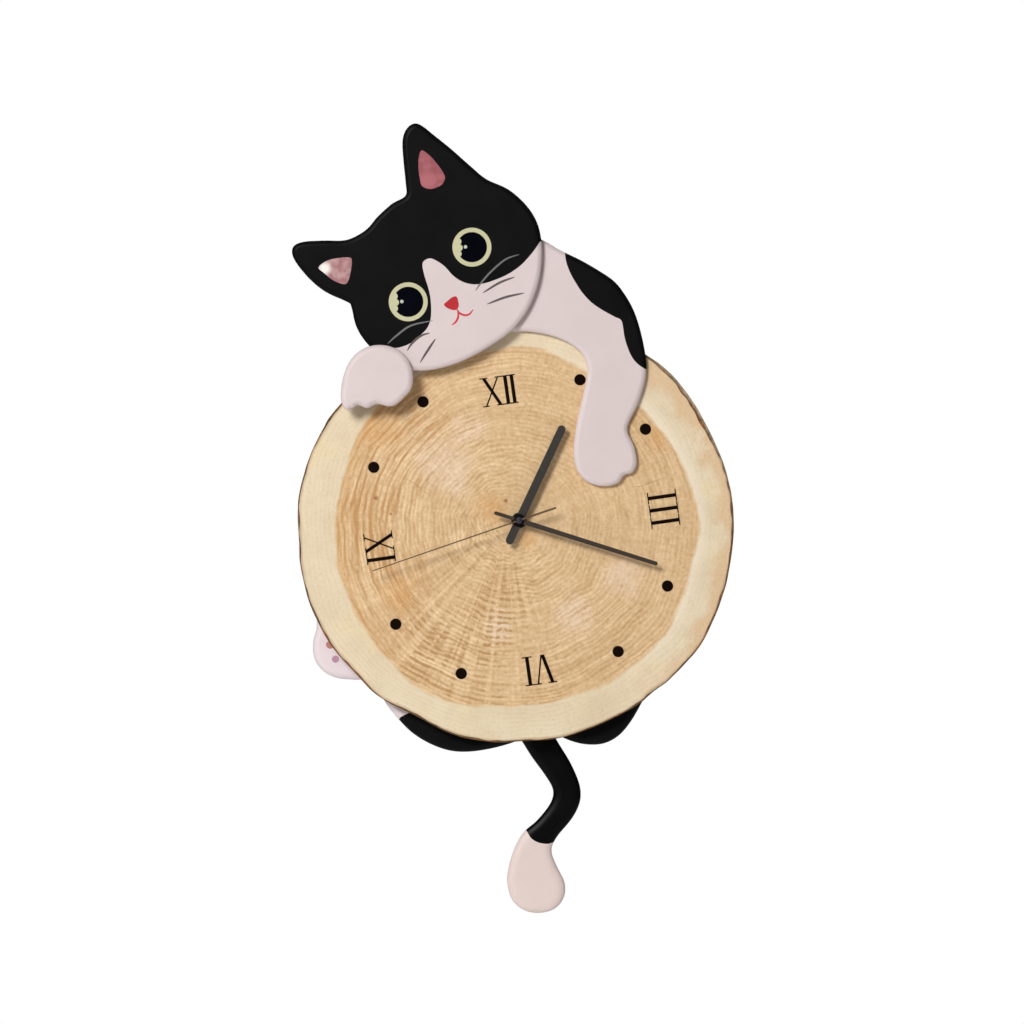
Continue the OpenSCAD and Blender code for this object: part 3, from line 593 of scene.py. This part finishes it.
def hand_paint(name, dark, light, cap_r, cap_dark, cap_light):
    """A hand's satin paint, and the glossier boss where it sits on the spindle."""
    m = Look(name, specular=0.3, coat=0.15)
    cap = m.span(m.away_from(spindle, flat=True), cap_r * MM, (cap_r - 0.2) * MM)
    cloud = m.noise(700, 3)
    m.bump(cloud, 0.12, 0.00005)
    shade = m.mix(cap, m.mix(cloud, dark, light), m.mix(cloud, cap_dark, cap_light))
    return m.finish(shade, m.span(cap, 0, 1, 0.42, 0.2))


def circuit(name, colour):
    """Solder mask over copper tracks."""
    m = Look(name, specular=0.6)
    cells = m.node("ShaderNodeTexVoronoi", feature="DISTANCE_TO_EDGE", distance="MANHATTAN")
    m.set(cells, "Vector", m.place)
    m.set(cells, "Scale", 480)
    track = m.span(cells.outputs["Distance"], 0.08, 0.11)
    m.bump(track, 0.4, 0.00005)
    shade = m.mix(track, scaled(colour, 1.7), colour)
    shade = m.mix(m.span(m.noise(90), 0.4, 0.6), shade, scaled(colour, 0.85))
    return m.finish(shade, m.span(track, 0, 1, 0.25, 0.35))


def raw_board(name):
    """Unpainted fibreboard, as on the backs."""
    m = Look(name, specular=0.2)
    fluff = m.noise(420, 5, 0.7)
    cloud = m.noise(45, 3)
    m.bump(fluff, 0.5, 0.00015)
    shade = m.mix(m.span(fluff, 0.3, 0.7), lin(150, 116, 82), lin(182, 148, 110))
    shade = m.mix(m.span(cloud, 0.35, 0.65), shade, scaled(lin(168, 132, 94), 0.92))
    return m.finish(shade, m.span(fluff, 0.3, 0.7, 0.75, 0.92))


def tree_wood(name):
    """Sawn end of a trunk: year rings, rays, saw marks, pale sapwood, a darker heart and painted shade in its
    cracks.
    """
    m = Look(name, specular=0.2)
    ring, heart, rim = m.value("ring"), m.value("heart"), m.value("edge")
    crack, east, north = m.value("crack"), m.value("east"), m.value("north")
    times, plus = m.times, m.plus

    def swing(x, size):
        """A noise value brought to either side of zero."""
        return times(m.sum("SUBTRACT", x, 0.5), size)

    def polar(turns, rings, detail, rough, start):
        """Noise drawn out along the rings, or along the rays when turns is the larger number."""
        way = m.node("ShaderNodeCombineXYZ")
        m.set(way, 0, plus(times(east, turns), start))
        m.set(way, 1, times(north, turns))
        m.set(way, 2, times(ring, rings))
        return m.noise(1.0, detail, rough, way.outputs[0])

    def years(count, sway, start):
        """So many rings from pith to bark as a wave, each straying by up to sway of them."""
        slow, quick = polar(1.6, 5, 2, 0.5, start), polar(4.5, 6, 2, 0.5, start + 5)
        drift = plus(swing(slow, sway), swing(quick, 1.8))
        return m.sum("SINE", times(plus(times(ring, count), drift), 2 * math.pi))

    def towards(degrees, wide, narrow):
        """1 near a direction from the pith, falling to 0 at so many degrees (wide) from it."""
        a = math.radians(degrees)
        dot = plus(times(east, math.cos(a)), times(north, math.sin(a)))
        return m.span(dot, math.cos(math.radians(wide)), math.cos(math.radians(narrow)), kind="SMOOTHSTEP")

    ragged = m.noise(42, 3, 0.6)

    def spots(places, torn):
        """Soft patches at (x, z, radius) on the face, their edges broken up by noise."""
        total = 0.0
        for x, z, r in places:
            gap = plus(m.away_from(drawn(x, z, 0), flat=True), swing(ragged, torn * r * MM))
            one = m.span(gap, 0.2 * r * MM, r * MM, 1, 0, kind="SMOOTHSTEP")
            total = one if total == 0.0 else m.sum("MAXIMUM", total, one)
        return total

    weave, west, calm_side = towards(*WOVEN_SIDE), towards(*STREAKED_SIDE), towards(*CALM_SIDE)
    weave = times(weave, m.span(m.sum("ABSOLUTE", plus(ring, -WOVEN_AT)), 0.15, 0.5, 1.0, 0.45))
    fine, broad = years(YEARS, 4.0, 0.0), years(BROAD_YEARS, 2.0, 9.0)
    bands, lines = polar(1.8, 22, 3, 0.55, 2.3), polar(3, 52, 2, 0.55, 14.3)
    rays = polar(19, 1.6, 2, 0.5, 3.1)
    hairs = polar(60, 4, 2, 0.5, 6.1)
    pores = polar(60, 90, 2, 0.6, 5.9)
    grain, speck = m.noise(620, 4, 0.7), m.noise(330, 3, 0.65)
    patchy = m.span(m.noise(26, 2), 0.36, 0.64, 0.35, 1.3)

    wavy = plus(times(fine, 0.3), swing(lines, 2.4))
    tone = plus(times(wavy, times(patchy, m.span(calm_side, 0, 1, 1.0, 0.6))), swing(bands, 1.3))
    tone = plus(tone, plus(swing(speck, 1.9), swing(hairs, 0.5)))
    dashes = times(times(m.span(broad, -0.1, 0.8), m.span(rays, 0.55, 0.46)), m.span(ring, 0.2, 0.34))
    tone = plus(tone, times(times(dashes, weave), times(patchy, -1.1)))
    beams = times(m.span(rays, 0.52, 0.66), m.span(ring, 0.12, 0.45))
    tone = plus(tone, times(beams, m.span(weave, 0, 1, 0.08, 0.45)))
    dark_rays = times(m.span(rays, 0.5, 0.4), times(m.span(ring, 0.08, 0.16), m.span(ring, 0.5, 0.3)))
    tone = plus(tone, times(times(dark_rays, weave), -0.5))
    wood = m.mix(m.span(tone, -1.15, 1.15), lin(180, 140, 91), lin(236, 207, 165))
    ruddy, creamy = spots(RUDDY, 1.6), spots(CREAMY, 1.6)
    wood = m.mix(times(ruddy, m.span(tone, -0.9, 0.9, 0.75, 0.3)), wood, lin(208, 156, 96))
    wood = m.mix(times(creamy, times(m.span(tone, -0.8, 0.6), 0.75)), wood, lin(230, 206, 182))
    streaks = m.span(plus(times(broad, 0.5), plus(swing(bands, 2.4), swing(lines, 2.4))), 0.05, -0.6)
    streaks = times(times(streaks, m.span(heart, 66, 30)), west)
    wood = m.mix(times(streaks, 0.75), wood, lin(184, 132, 76))
    outermost = m.span(heart, 10, 0)
    wood = m.mix(times(outermost, m.span(west, 0, 1, 0.12, 0.45)), wood, lin(208, 162, 108))
    wood = m.mix(times(m.span(pores, 0.58, 0.72), 0.3), wood, lin(150, 108, 68))

    cloud, stain = m.noise(24, 3, 0.6), m.noise(31, 2)
    sap = m.mix(m.span(cloud, 0.34, 0.66), lin(214, 196, 165), lin(225, 210, 181))
    sap = m.mix(times(m.span(stain, 0.52, 0.66), 0.35), sap, lin(230, 210, 164))
    sap = m.mix(times(m.span(fine, 0.2, -1), times(patchy, 0.22)), sap, lin(208, 184, 148))
    right = towards(*STAINED_SIDE)
    blotch = plus(swing(speck, 12), swing(m.noise(48, 3, 0.6), 34))
    sap = m.mix(times(times(right, m.span(plus(rim, blotch), 15, 6)), 0.8), sap, lin(214, 182, 142))
    sap = m.mix(times(right, times(m.span(heart, -9, -2), 0.6)), sap, lin(234, 221, 198))
    blend = m.span(plus(heart, swing(m.noise(55, 3), 6.0)), -1.6, 1.6, kind="SMOOTHSTEP")
    face = m.mix(blend, sap, wood)
    face = m.mix(times(m.span(grain, 0.54, 0.7), 0.2), face, lin(160, 120, 80))
    face = m.mix(times(m.span(grain, 0.44, 0.3), 0.16), face, lin(248, 230, 200))
    by_bark = m.span(plus(rim, times(ragged, 3.0)), 2.4, 4.2, 1, 0)
    face = m.mix(times(by_bark, 0.6), face, lin(158, 122, 84))
    face = m.mix(times(spots(KNOTS, 0.3), 0.8), face, lin(146, 86, 46))
    # the beds of the cracks painted darker brown: painted shade in the cracks
    face = m.mix(times(crack, 0.75), face, lin(150, 106, 62))
    saw = m.noise(1, 2, 0.5, m.stretch(24, 24, 820))
    m.bump(plus(times(tone, 0.5), plus(times(grain, 0.5), times(saw, 0.3))), 0.3, 0.00022)
    return m.finish(face, m.span(grain, 0.3, 0.7, 0.5, 0.66))


def tree_bark(name):
    """Bark left on the edge: torn, flaky, darker in the hollows, which is partly its own colour and partly painted
    shade, and bleached where it has peeled.
    """
    m = Look(name, specular=0.15)
    long = m.noise(1, 5, 0.65, m.stretch(170, 60, 170))
    fine = m.noise(520, 5, 0.7)
    patch = m.noise(34, 3)
    tone = m.plus(m.times(long, 0.6), m.times(fine, 0.4))
    # tone also drives the bump, so each colour runs darker in the hollows: partly the bark's own colour, partly
    # painted shade
    dark = m.mix(m.span(tone, 0.36, 0.62), lin(62, 46, 32), lin(128, 98, 66))
    rusty = m.mix(m.span(tone, 0.36, 0.62), lin(100, 58, 38), lin(166, 114, 78))
    pale = m.mix(m.span(tone, 0.36, 0.62), lin(150, 128, 100), lin(212, 194, 164))
    bark = m.mix(m.span(patch, 0.53, 0.62), dark, rusty)
    bark = m.mix(m.value("rust"), bark, m.mix(m.span(fine, 0.4, 0.6), dark, rusty))
    bark = m.mix(m.value("peeled"), bark, pale)
    m.bump(m.plus(long, m.times(fine, 0.5)), 0.9, 0.0008)
    return m.finish(bark, m.span(fine, 0.3, 0.7, 0.75, 0.95))


def ear_lining(name, dark, light, tip, at, reach):
    """Rose paint inside an ear, turning to the colour tip round one place: a lighter rose of the paint on one ear,
    a painted highlight on the other.
    """
    m = Look(name, roughness=0.45, specular=0.3)
    cloud = m.noise(190, 3, 0.5)
    # round at the colour turns to tip; on the left ear this spot is a painted highlight
    tint_and_highlight = m.span(m.away_from(at), 0.25 * reach, reach, 1, 0, kind="SMOOTHSTEP")
    m.bump(m.noise(900, 3), 0.2, 0.0001)
    rose = m.mix(m.span(cloud, 0.36, 0.66, kind="SMOOTHSTEP"), dark, light)
    return m.finish(m.mix(tint_and_highlight, rose, tip))


WHITE = paint("cat_white_paint", lin(211, 197, 196), spread=0.02)
BLACK = paint("cat_black_paint", lin(11, 11, 12), spread=0.2, rough=(0.4, 0.5), specular=0.06)
TAIL_BLACK = paint("tail_black_paint", lin(1, 1, 2), spread=0.3, rough=(0.36, 0.44), specular=0.1)
PINK_TIP = paint("tail_tip_paint", lin(221, 203, 197), spread=0.02)
BACK = raw_board("bare_board_fibre")
EYE_RING = paint("eye_ring_paint", lin(192, 189, 152), spread=0.05)
PUPIL = paint("pupil_paint", lin(1, 1, 9), spread=0.4, rough=(0.3, 0.4), specular=0.04)
GLINT = paint("eye_glint_paint", lin(190, 190, 176), spread=0.01)
NOSE = paint("nose_paint", lin(184, 26, 38), spread=0.14)
MOUTH = paint("mouth_paint", lin(198, 52, 60), spread=0.08)
HEAD_FRONT = 40         # depth of the head's face, in millimetres
EAR = ear_lining("ear_paint", lin(146, 76, 82), lin(164, 94, 99), lin(170, 98, 104),
                 drawn(-64, 236, HEAD_FRONT), 0.009)
# Round the left end of the left ear the near-white tip colour is a painted highlight.
EAR_PALE = ear_lining("ear_pale_paint", lin(158, 106, 108), lin(182, 144, 144), lin(236, 232, 224),
                      drawn(-134.4, 175.4, HEAD_FRONT), 0.0062)
WHISKER_LIGHT = paint("whisker_grey_paint", lin(104, 104, 102), spread=0.08)
WHISKER_DARK = paint("whisker_dark_paint", lin(90, 78, 78), spread=0.1)
PAD = paint("toe_pad_paint", lin(178, 136, 158), spread=0.05)
PAD_DARK = paint("toe_pad_red_paint", lin(178, 116, 106), spread=0.05)
FOOT_WHITE = paint("foot_white_paint", lin(224, 210, 212), spread=0.02)

LOOKS = {
    "ink_black": paint("print_black", lin(18, 7, 3), spread=0.25, rough=(0.4, 0.55), grain=0.15,
                       specular=0.03),
    "bare_board": BACK,
    "black_rubber": rubber("rubber_black", lin(34, 34, 35)),
    "zinc_steel": metal("steel_zinc", (0.60, 0.60, 0.58), 0.34),
    "case_black": plastic("plastic_case", lin(34, 34, 36), 0.5),
    "cover_grey": plastic("plastic_cover", lin(62, 62, 64), 0.52),
    "bush_brass": metal("brass_turned", (0.66, 0.46, 0.19), 0.28, along=(60, 1400, 60)),
    "nut_black": metal("steel_blackened", (0.035, 0.036, 0.04), 0.38),
    "white_acetal": plastic("plastic_acetal", lin(228, 226, 218), 0.36, 900, 0.15, 0.02),
    "cell_sleeve": cell_sleeve("cell_print"),
    "contact_steel": metal("steel_nickel", (0.66, 0.65, 0.62), 0.26),
    "board_green": circuit("board_mask", lin(16, 88, 50)),
    "crystal_can": metal("can_polished", (0.72, 0.72, 0.71), 0.16, strength=0.05),
    "copper_wire": winding("copper_winding", (0.62, 0.25, 0.11), 2, 0.00022),
    "magnet_grey": metal("magnet_sintered", (0.16, 0.16, 0.17), 0.5, along=(500, 500, 500)),
    "stator_steel": metal("steel_stamped", (0.42, 0.42, 0.43), 0.4),
    "knob_black": plastic("plastic_knob", lin(26, 26, 28), 0.34),
    "hour_black": hand_paint("hand_paint_hour", lin(42, 39, 35), lin(56, 53, 48),
                             4.6, lin(10, 8, 9), lin(18, 15, 16)),
    "minute_black": hand_paint("hand_paint_minute", lin(46, 38, 30), lin(62, 52, 42),
                               3.6, lin(8, 7, 9), lin(16, 14, 17)),
    "second_black": hand_paint("hand_paint_second", lin(84, 66, 46), lin(102, 80, 56),
                               2.35, lin(30, 32, 44), lin(58, 60, 76)),
}

# ---------------------------------------------------------------- camera and light

face_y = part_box("wood_slice")[0].y
FRAME_W = 0.70656       # what the picture takes in at the face of the slice
DISTANCE = 4.0
SENSOR = 36
CLIP_END = 50
AIM = (-0.0054, 0.0078)     # from the middle of the slice to the middle of the picture
camera = bpy.data.objects.new("camera", bpy.data.cameras.new("camera"))
camera.data.sensor_width = SENSOR
camera.data.lens = SENSOR * DISTANCE / FRAME_W
camera.data.clip_end = CLIP_END
camera.location = (MIDDLE[0] * MM + AIM[0], face_y - DISTANCE, MIDDLE[1] * MM + AIM[1])
camera.rotation_euler = (math.pi / 2, 0, 0)
scene.collection.objects.link(camera)
scene.camera = camera


def area_light(name, at, look_at, size, watts):
    light = bpy.data.objects.new(name, bpy.data.lights.new(name, "AREA"))
    light.data.shape = "DISK"
    light.data.size = size
    light.data.energy = watts
    light.location = at
    light.rotation_mode = "QUATERNION"
    light.rotation_quaternion = (Vector(look_at) - Vector(at)).to_track_quat("-Z", "Y")
    scene.collection.objects.link(light)


area_light("key", (-1.02, -2.1, 1.02), (0, -0.03, -0.03), 0.8, 48.5)
area_light("key_spread", (-1.5, -2.5, 1.5), (0, -0.03, -0.03), 1.9, 16)
area_light("fill", (1.6, -2.4, 0.4), (0, 0, 0), 1.8, 4)
area_light("back_fill", (0.6, 2.4, 1.2), (0, 0, 0), 1.6, 52)

SKY, SKY_STRENGTH = (1.0, 0.9, 0.84, 1), 0.11       # what lights the clock from all round
world = bpy.data.worlds.new("world")
world.use_nodes = True
scene.world = world
sky = world.node_tree.nodes["Background"]
sky.inputs["Color"].default_value = SKY
sky.inputs["Strength"].default_value = SKY_STRENGTH
shown = world.node_tree.nodes.new("ShaderNodeBackground")
shown.inputs["Color"].default_value = (1, 1, 1, 1)
shown.inputs["Strength"].default_value = 1.0
pick = world.node_tree.nodes.new("ShaderNodeMixShader")
path = world.node_tree.nodes.new("ShaderNodeLightPath")
world.node_tree.links.new(path.outputs["Is Camera Ray"], pick.inputs[0])
world.node_tree.links.new(sky.outputs[0], pick.inputs[1])
world.node_tree.links.new(shown.outputs[0], pick.inputs[2])
world.node_tree.links.new(pick.outputs[0], world.node_tree.nodes["World Output"].inputs["Surface"])
scene.view_settings.view_transform = "Standard"
scene.view_settings.look = "None"

# ---------------------------------------------------------------- floor

FLOOR_Z, FLOOR_HALF = -0.55, 1.4
corners = [(x * FLOOR_HALF, y * FLOOR_HALF, FLOOR_Z) for x, y in ((-1, -1), (1, -1), (1, 1), (-1, 1))]
floor_mesh = bpy.data.meshes.new("floor")
floor_mesh.from_pydata(corners, [], [(0, 1, 2, 3)])
pale = Look("floor_pale", specular=0.2)
shade = pale.mix(pale.noise(6, 3), lin(246, 246, 246), lin(252, 252, 252))
floor_mesh.materials.append(pale.finish(shade, 0.8))
floor = bpy.data.objects.new("floor", floor_mesh)
scene.collection.objects.link(floor)

# ---------------------------------------------------------------- the wood slice

HEART_EDGE = [(-127, -14), (-124, 22), (-108, 67), (-85, 92), (-50, 112), (-14, 121), (14, 120), (55, 100),
              (90, 73), (111, 43), (123, 4), (119, -28), (104.5, -69), (80, -97), (44, -117), (-7, -126),
              (-47, -123), (-78, -107), (-108, -71), (-122, -42)]
CRACK_DEPTH = 0.3
PEELED_AT = 0.55        # direction from the middle, in radians, where the bark has peeled
PEELED_WIDE = 0.3
PEELED_LOOSE = 1.5      # breadth of the outer strip of bark that is bleached there, in millimetres
CRACKS = [[(-80, 32), (-73, 27.5), (-66, 22), (-59, 17)], [(75, 25), (83, 25.5), (90, 28), (99, 31)]]
SLOWEST, QUICKEST = 3, 90       # waves round the edge that wander adds up
EDGE_SEED, BARK_SEED, BITE_SEED = 3, 11, 31
RAGGED = 0.3            # how far the edge is drawn in from the CAD outline on average, in millimetres
BARK, BARK_STRAY, BARK_PEELED, BARK_LEAST = 1.1, 1.2, 2.3, 0.35     # breadth of the bark seen from the front
SLICE_EDGE = (0.9, 0.8)         # width and depth of the slice's rounded edge
HOLE_R = 4.0            # hole for the spindle
SIDE_LEVELS = [0.2, 0.4, 0.6, 0.8]      # rows of points down the bark, from the front to the back
BITE = 0.55             # how deep the bark's side is eaten away on average


def wander(n, roughness, seed):
    """A smooth closed run of n random values between -1 and 1."""
    r = random.Random(seed)
    t = np.arange(n) * 2 * math.pi / n
    total = np.zeros(n)
    for k in range(SLOWEST, QUICKEST):
        size = k ** -roughness
        total += size * (r.gauss(0, 1) * np.cos(k * t) + r.gauss(0, 1) * np.sin(k * t))
    return total / np.abs(total).max()


def peel(direction):
    """How far the bark has peeled in a direction from the middle, 0 to 1."""
    return np.exp(-((direction - PEELED_AT) / PEELED_WIDE) ** 2)


def wood_slice():
    """The sawn slice: front and back alike, a ragged bark edge, and shallow cracks in the front."""
    z0, z1 = depths("wood_slice")
    loop = smooth(outline("wood_slice", z0), 5)
    n = len(loop)
    normal = inward(loop)
    ragged = loop + normal * (RAGGED + RAGGED * wander(n, 0.8, EDGE_SEED))[:, None]
    spindle_at = np.array([spindle[0], spindle[2]]) / MM - MIDDLE
    hole = circle(spindle_at, HOLE_R)[::-1]
    grooves = [stroke(c, 0.6, 4) for c in CRACKS]
    beds = [smooth(c, 4, closed=False)[1:-1] for c in CRACKS]
    toward = np.arctan2(ragged[:, 1], ragged[:, 0])
    bark_w = BARK + BARK_STRAY * wander(n, 0.6, BARK_SEED) + BARK_PEELED * peel(toward)
    bark_w = np.maximum(BARK_LEAST, bark_w)
    inner = ragged + normal * bark_w[:, None]
    folded = [np.vstack([b, b[-2:0:-1]]) for b in beds]
    v, f = triangulate(ragged, [0.5], 1.9, [inner] + grooves + folded, [hole])
    d, way = to_edge(v, ragged)
    drop, slope = rounding(d, *SLICE_EDGE)
    angle = np.arctan2(v[:, 1] - PITH[1], v[:, 0] - PITH[0])
    reach = np.linalg.norm(v - PITH, axis=1)

    def out_to(edge):
        a = np.arctan2(edge[:, 1] - PITH[1], edge[:, 0] - PITH[0])
        r = np.linalg.norm(edge - PITH, axis=1)
        k = np.argsort(a)
        return np.interp(angle, a[k], r[k], period=2 * math.pi)

    ring = reach / out_to(ragged)
    heart = out_to(smooth(HEART_EDGE, 8)) - reach
    round_to = np.arctan2(v[:, 1], v[:, 0])
    shed = np.clip((PEELED_LOOSE - d) / 0.5, 0, 1)
    peeled, rust = peel(round_to) * shed, peel(round_to) * (1 - shed)
    crack = np.zeros(len(v))
    for bed in beds:
        crack[((v[:, None, :] - bed[None]) ** 2).sum(2).min(1) < 1e-4] = 1.0
    layers = {"ring": ring, "heart": heart, "edge": d, "crack": crack, "peeled": peeled, "rust": rust,
              "east": np.cos(angle), "north": np.sin(angle)}
    middle = v[f].mean(1)
    index = np.where(inside(middle, inner), 0, 1)
    normals = facing(slope, way)
    count = len(v)
    co = [place(v, z1 - drop - CRACK_DEPTH * crack), place(v, z0 + drop)]
    nm = [normals, normals * TO_BACK]
    faces = [list(t) for t in f] + reverse(f, count)
    colours = list(index) * 2
    rim = rim_of(f)
    rim_ids, number = rim_points(rim)
    m = len(rim_ids)
    at_rim = v[rim_ids]
    is_hole = np.linalg.norm(at_rim - spindle_at, axis=1) < HOLE_R + 0.5
    out = -way[rim_ids]
    rows = len(SIDE_LEVELS)
    start = 2 * count
    for k, u in enumerate(SIDE_LEVELS):
        bite = BITE + BITE * wander(m, 0.35, BITE_SEED + k)
        bite[is_hole] = 0
        co.append(place(at_rim - out * bite[:, None], z1 + (z0 - z1) * u))
        nm.append(np.stack([out[:, 0], np.zeros(m), out[:, 1]], 1))
    for a, b in rim:
        i, j = number[a], number[b]
        hole_side = is_hole[i] and is_hole[j]
        side = [(start + k * m + i, start + k * m + j) for k in range(rows)]
        chain = [(a, b)] + side + [(a + count, b + count)]
        for (p, q), (r, s) in zip(chain, chain[1:]):
            faces.append([q, p, r, s])
            colours.append(0 if hole_side else 1)
    for key in layers:
        layers[key] = np.concatenate([layers[key], layers[key]] + [layers[key][rim_ids]] * rows)
    mats = [tree_wood("tree_wood_face"), tree_bark("tree_wood_bark")]
    obj = build("wood_slice_end_grain", np.vstack(co), faces, mats, colours, np.vstack(nm), layers)
    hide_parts("wood_slice")
    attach(obj, "clock")


wood_slice()

# ---------------------------------------------------------------- the painted boards


# Head: black above a line that runs over the nose, white below it.
FACE_LINE = [(14, 194), (10, 188), (5, 182), (0, 177), (-8, 171.5), (-17, 167.5), (-25, 165), (-33, 164.5),
             (-40, 166.5), (-46, 170.5), (-52, 177), (-58, 181), (-62, 182.3), (-66, 180.5), (-67, 177),
             (-65.5, 170), (-63, 162), (-61.5, 155), (-61, 147), (-61.5, 140), (-64, 134), (-69, 129),
             (-76, 123.5), (-83, 121), (-88, 120.5), (-100, 119)]
ABOVE_FACE = [(-130, 118), (-190, 160), (-190, 300), (60, 300), (60, 194)]
EAR_LINE = [(-67, 256.5), (-60, 251), (-52, 240), (-52.6, 234.5), (-56, 231.6), (-62, 230), (-67.2, 232),
            (-68.8, 237), (-69.8, 245), (-69.3, 253)]
EAR_PALE_LINE = [(-138.5, 176), (-134, 180), (-128, 182), (-118, 183), (-115.6, 181), (-116.6, 172),
                 (-118.6, 165.8), (-121.5, 164.6), (-128, 167), (-135, 172.4)]
EYES = [(-33.0, 190.0), (-76.8, 152.4)]
EYE_R, PUPIL_R = 13.4, 10.4
SCALLOPS = [(-9.6, 3.8, 2.4), (-8.7, -0.4, 2.4), (-9.2, -4.6, 2.2)]     # of the ring, over the pupil
GLINT_AT, GLINT_R = (-4.4, 0.2), 1.2
NOSE_LINE = [(-52.2, 150.6), (-50, 152.8), (-46.4, 155.6), (-43.6, 156), (-42.4, 153), (-42, 149.4),
             (-43.6, 147), (-46.6, 146.8), (-50.4, 148.4)]
MOUTH_LINES = [[(-43.6, 148), (-41.6, 144.8), (-38, 143.2), (-34.6, 144), (-32, 147.2)],
               [(-43.4, 148), (-42.3, 144.4), (-42.8, 140.8), (-44.6, 138), (-47, 136.4)]]
MOUTH_W = 1.5
# Three whiskers on each side, the first of them light where it lies on the black.
WHISKERS = [[(-0.5, 185), (-10, 181.5), (-20, 173), (-27, 165), (-30.5, 160)],
            [(-3.5, 169.5), (-14, 165.5), (-25.5, 158.5)],
            [(3, 158.5), (-10, 155.5), (-22.5, 150.8)],
            [(-60, 139.5), (-75, 136), (-85, 129), (-91, 123.5)],
            [(-62, 131), (-68, 129), (-74, 124), (-77.5, 118.8)],
            [(-58, 127), (-63, 119.5), (-68.7, 110.5)]]
LIGHT_ONES = (0, 3)
LIGHT_W, DARK_W = 1.3, 1.65


def head_paint():
    """Lines of the head's colours, in the order they are painted."""
    layers = [(np.vstack([smooth(FACE_LINE, 4, closed=False), ABOVE_FACE]), BLACK),
              (smooth(EAR_LINE, 5), EAR), (smooth(EAR_PALE_LINE, 5), EAR_PALE)]
    for x, z in EYES:
        layers += [(circle((x, z), EYE_R, 64), EYE_RING), (circle((x, z), PUPIL_R, 56), PUPIL)]
        layers += [(circle((x + dx, z + dz), r, 24), EYE_RING) for dx, dz, r in SCALLOPS]
        layers.append((circle((x + GLINT_AT[0], z + GLINT_AT[1]), GLINT_R, 20), GLINT))
    layers.append((smooth(NOSE_LINE, 4), NOSE))
    layers += [(stroke(line, MOUTH_W), MOUTH) for line in MOUTH_LINES]
    for k, line in enumerate(WHISKERS):
        light = k in LIGHT_ONES
        layers.append((stroke(line, LIGHT_W if light else DARK_W), WHISKER_LIGHT if light else WHISKER_DARK))
    return layers


head = board("cat_head", "head", WHITE, head_paint(), width=3.6, depth=1.85, spacing=2.2)
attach(head, "clock")

ARM_PATCH = [(31, 187), (32, 180), (35, 172), (39, 165), (43, 159), (49, 152.5), (56, 147.5), (65, 142.5),
             (69.6, 140.2), (71, 136), (72, 129), (74, 122), (77, 115), (81, 110), (86, 106.5)]
patch = np.vstack([smooth(ARM_PATCH, 4, closed=False), [(110, 100), (110, 220), (31, 220)]])
arm = board("cat_shoulder_and_arm", "shoulder_and_arm", WHITE, [(patch, BLACK)], width=3.6, depth=2.0)
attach(arm, "clock")

paw = board("cat_left_paw", "left_paw", WHITE, [], width=3.8, depth=2.2)
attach(paw, "clock")

haunch = np.array([(-75.5, -120), (-75.5, -130.5), (-82.5, -134), (-100, -160), (0, -200), (140, -160),
                   (140, -40), (-60, -40)], float)
pads = [(circle((-131, -84), 3.1, 22, 0.9), PAD_DARK), (circle((-127.5, -94), 2.5, 22), PAD)]
body = board("cat_body_and_hind_foot", "body_and_hind_foot", FOOT_WHITE, [(haunch, BLACK)] + pads,
             width=4.6, depth=3.2)
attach(body, "clock")

TAIL_LINE = [(-2, -206), (1.5, -209.5), (4.5, -213), (8, -218.4), (13, -221.3), (19, -222.2), (22.5, -221.5),
             (28, -219)]
tip = np.vstack([smooth(TAIL_LINE, 4, closed=False), [(60, -215), (60, -300), (-40, -300), (-40, -206)]])
tail = board("cat_tail", "tail", TAIL_BLACK, [(tip, PINK_TIP)], width=6.8, depth=3.4, spacing=1.9, level=2.5,
             both=True)
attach(tail, "pendulum")

# ---------------------------------------------------------------- what stays as the CAD made it

slots = {s["node"]: s["material_slot"] for s in frame["record"]["subparts"]}
SHARP = math.radians(40)        # edges that turn by more are softened
BEVELS = {"hour_hand": 0.0002, "minute_hand": 0.00015, "second_hand": 0.0001, "movement_case": 0.0004,
          "back_cover": 0.0003, "hanger_plate": 0.0002, "setting_knob": 0.0002, "bush_nut": 0.0003}
for node, obj in frame["nodes"].items():
    if obj.hide_render:
        continue
    look = LOOKS[slots[node]]
    obj.data.materials.clear()
    obj.data.materials.append(look)
    if node in BEVELS:
        soften = obj.modifiers.new("soften", "BEVEL")
        soften.width = BEVELS[node]
        soften.segments = 2
        soften.limit_method = "ANGLE"
        soften.angle_limit = SHARP
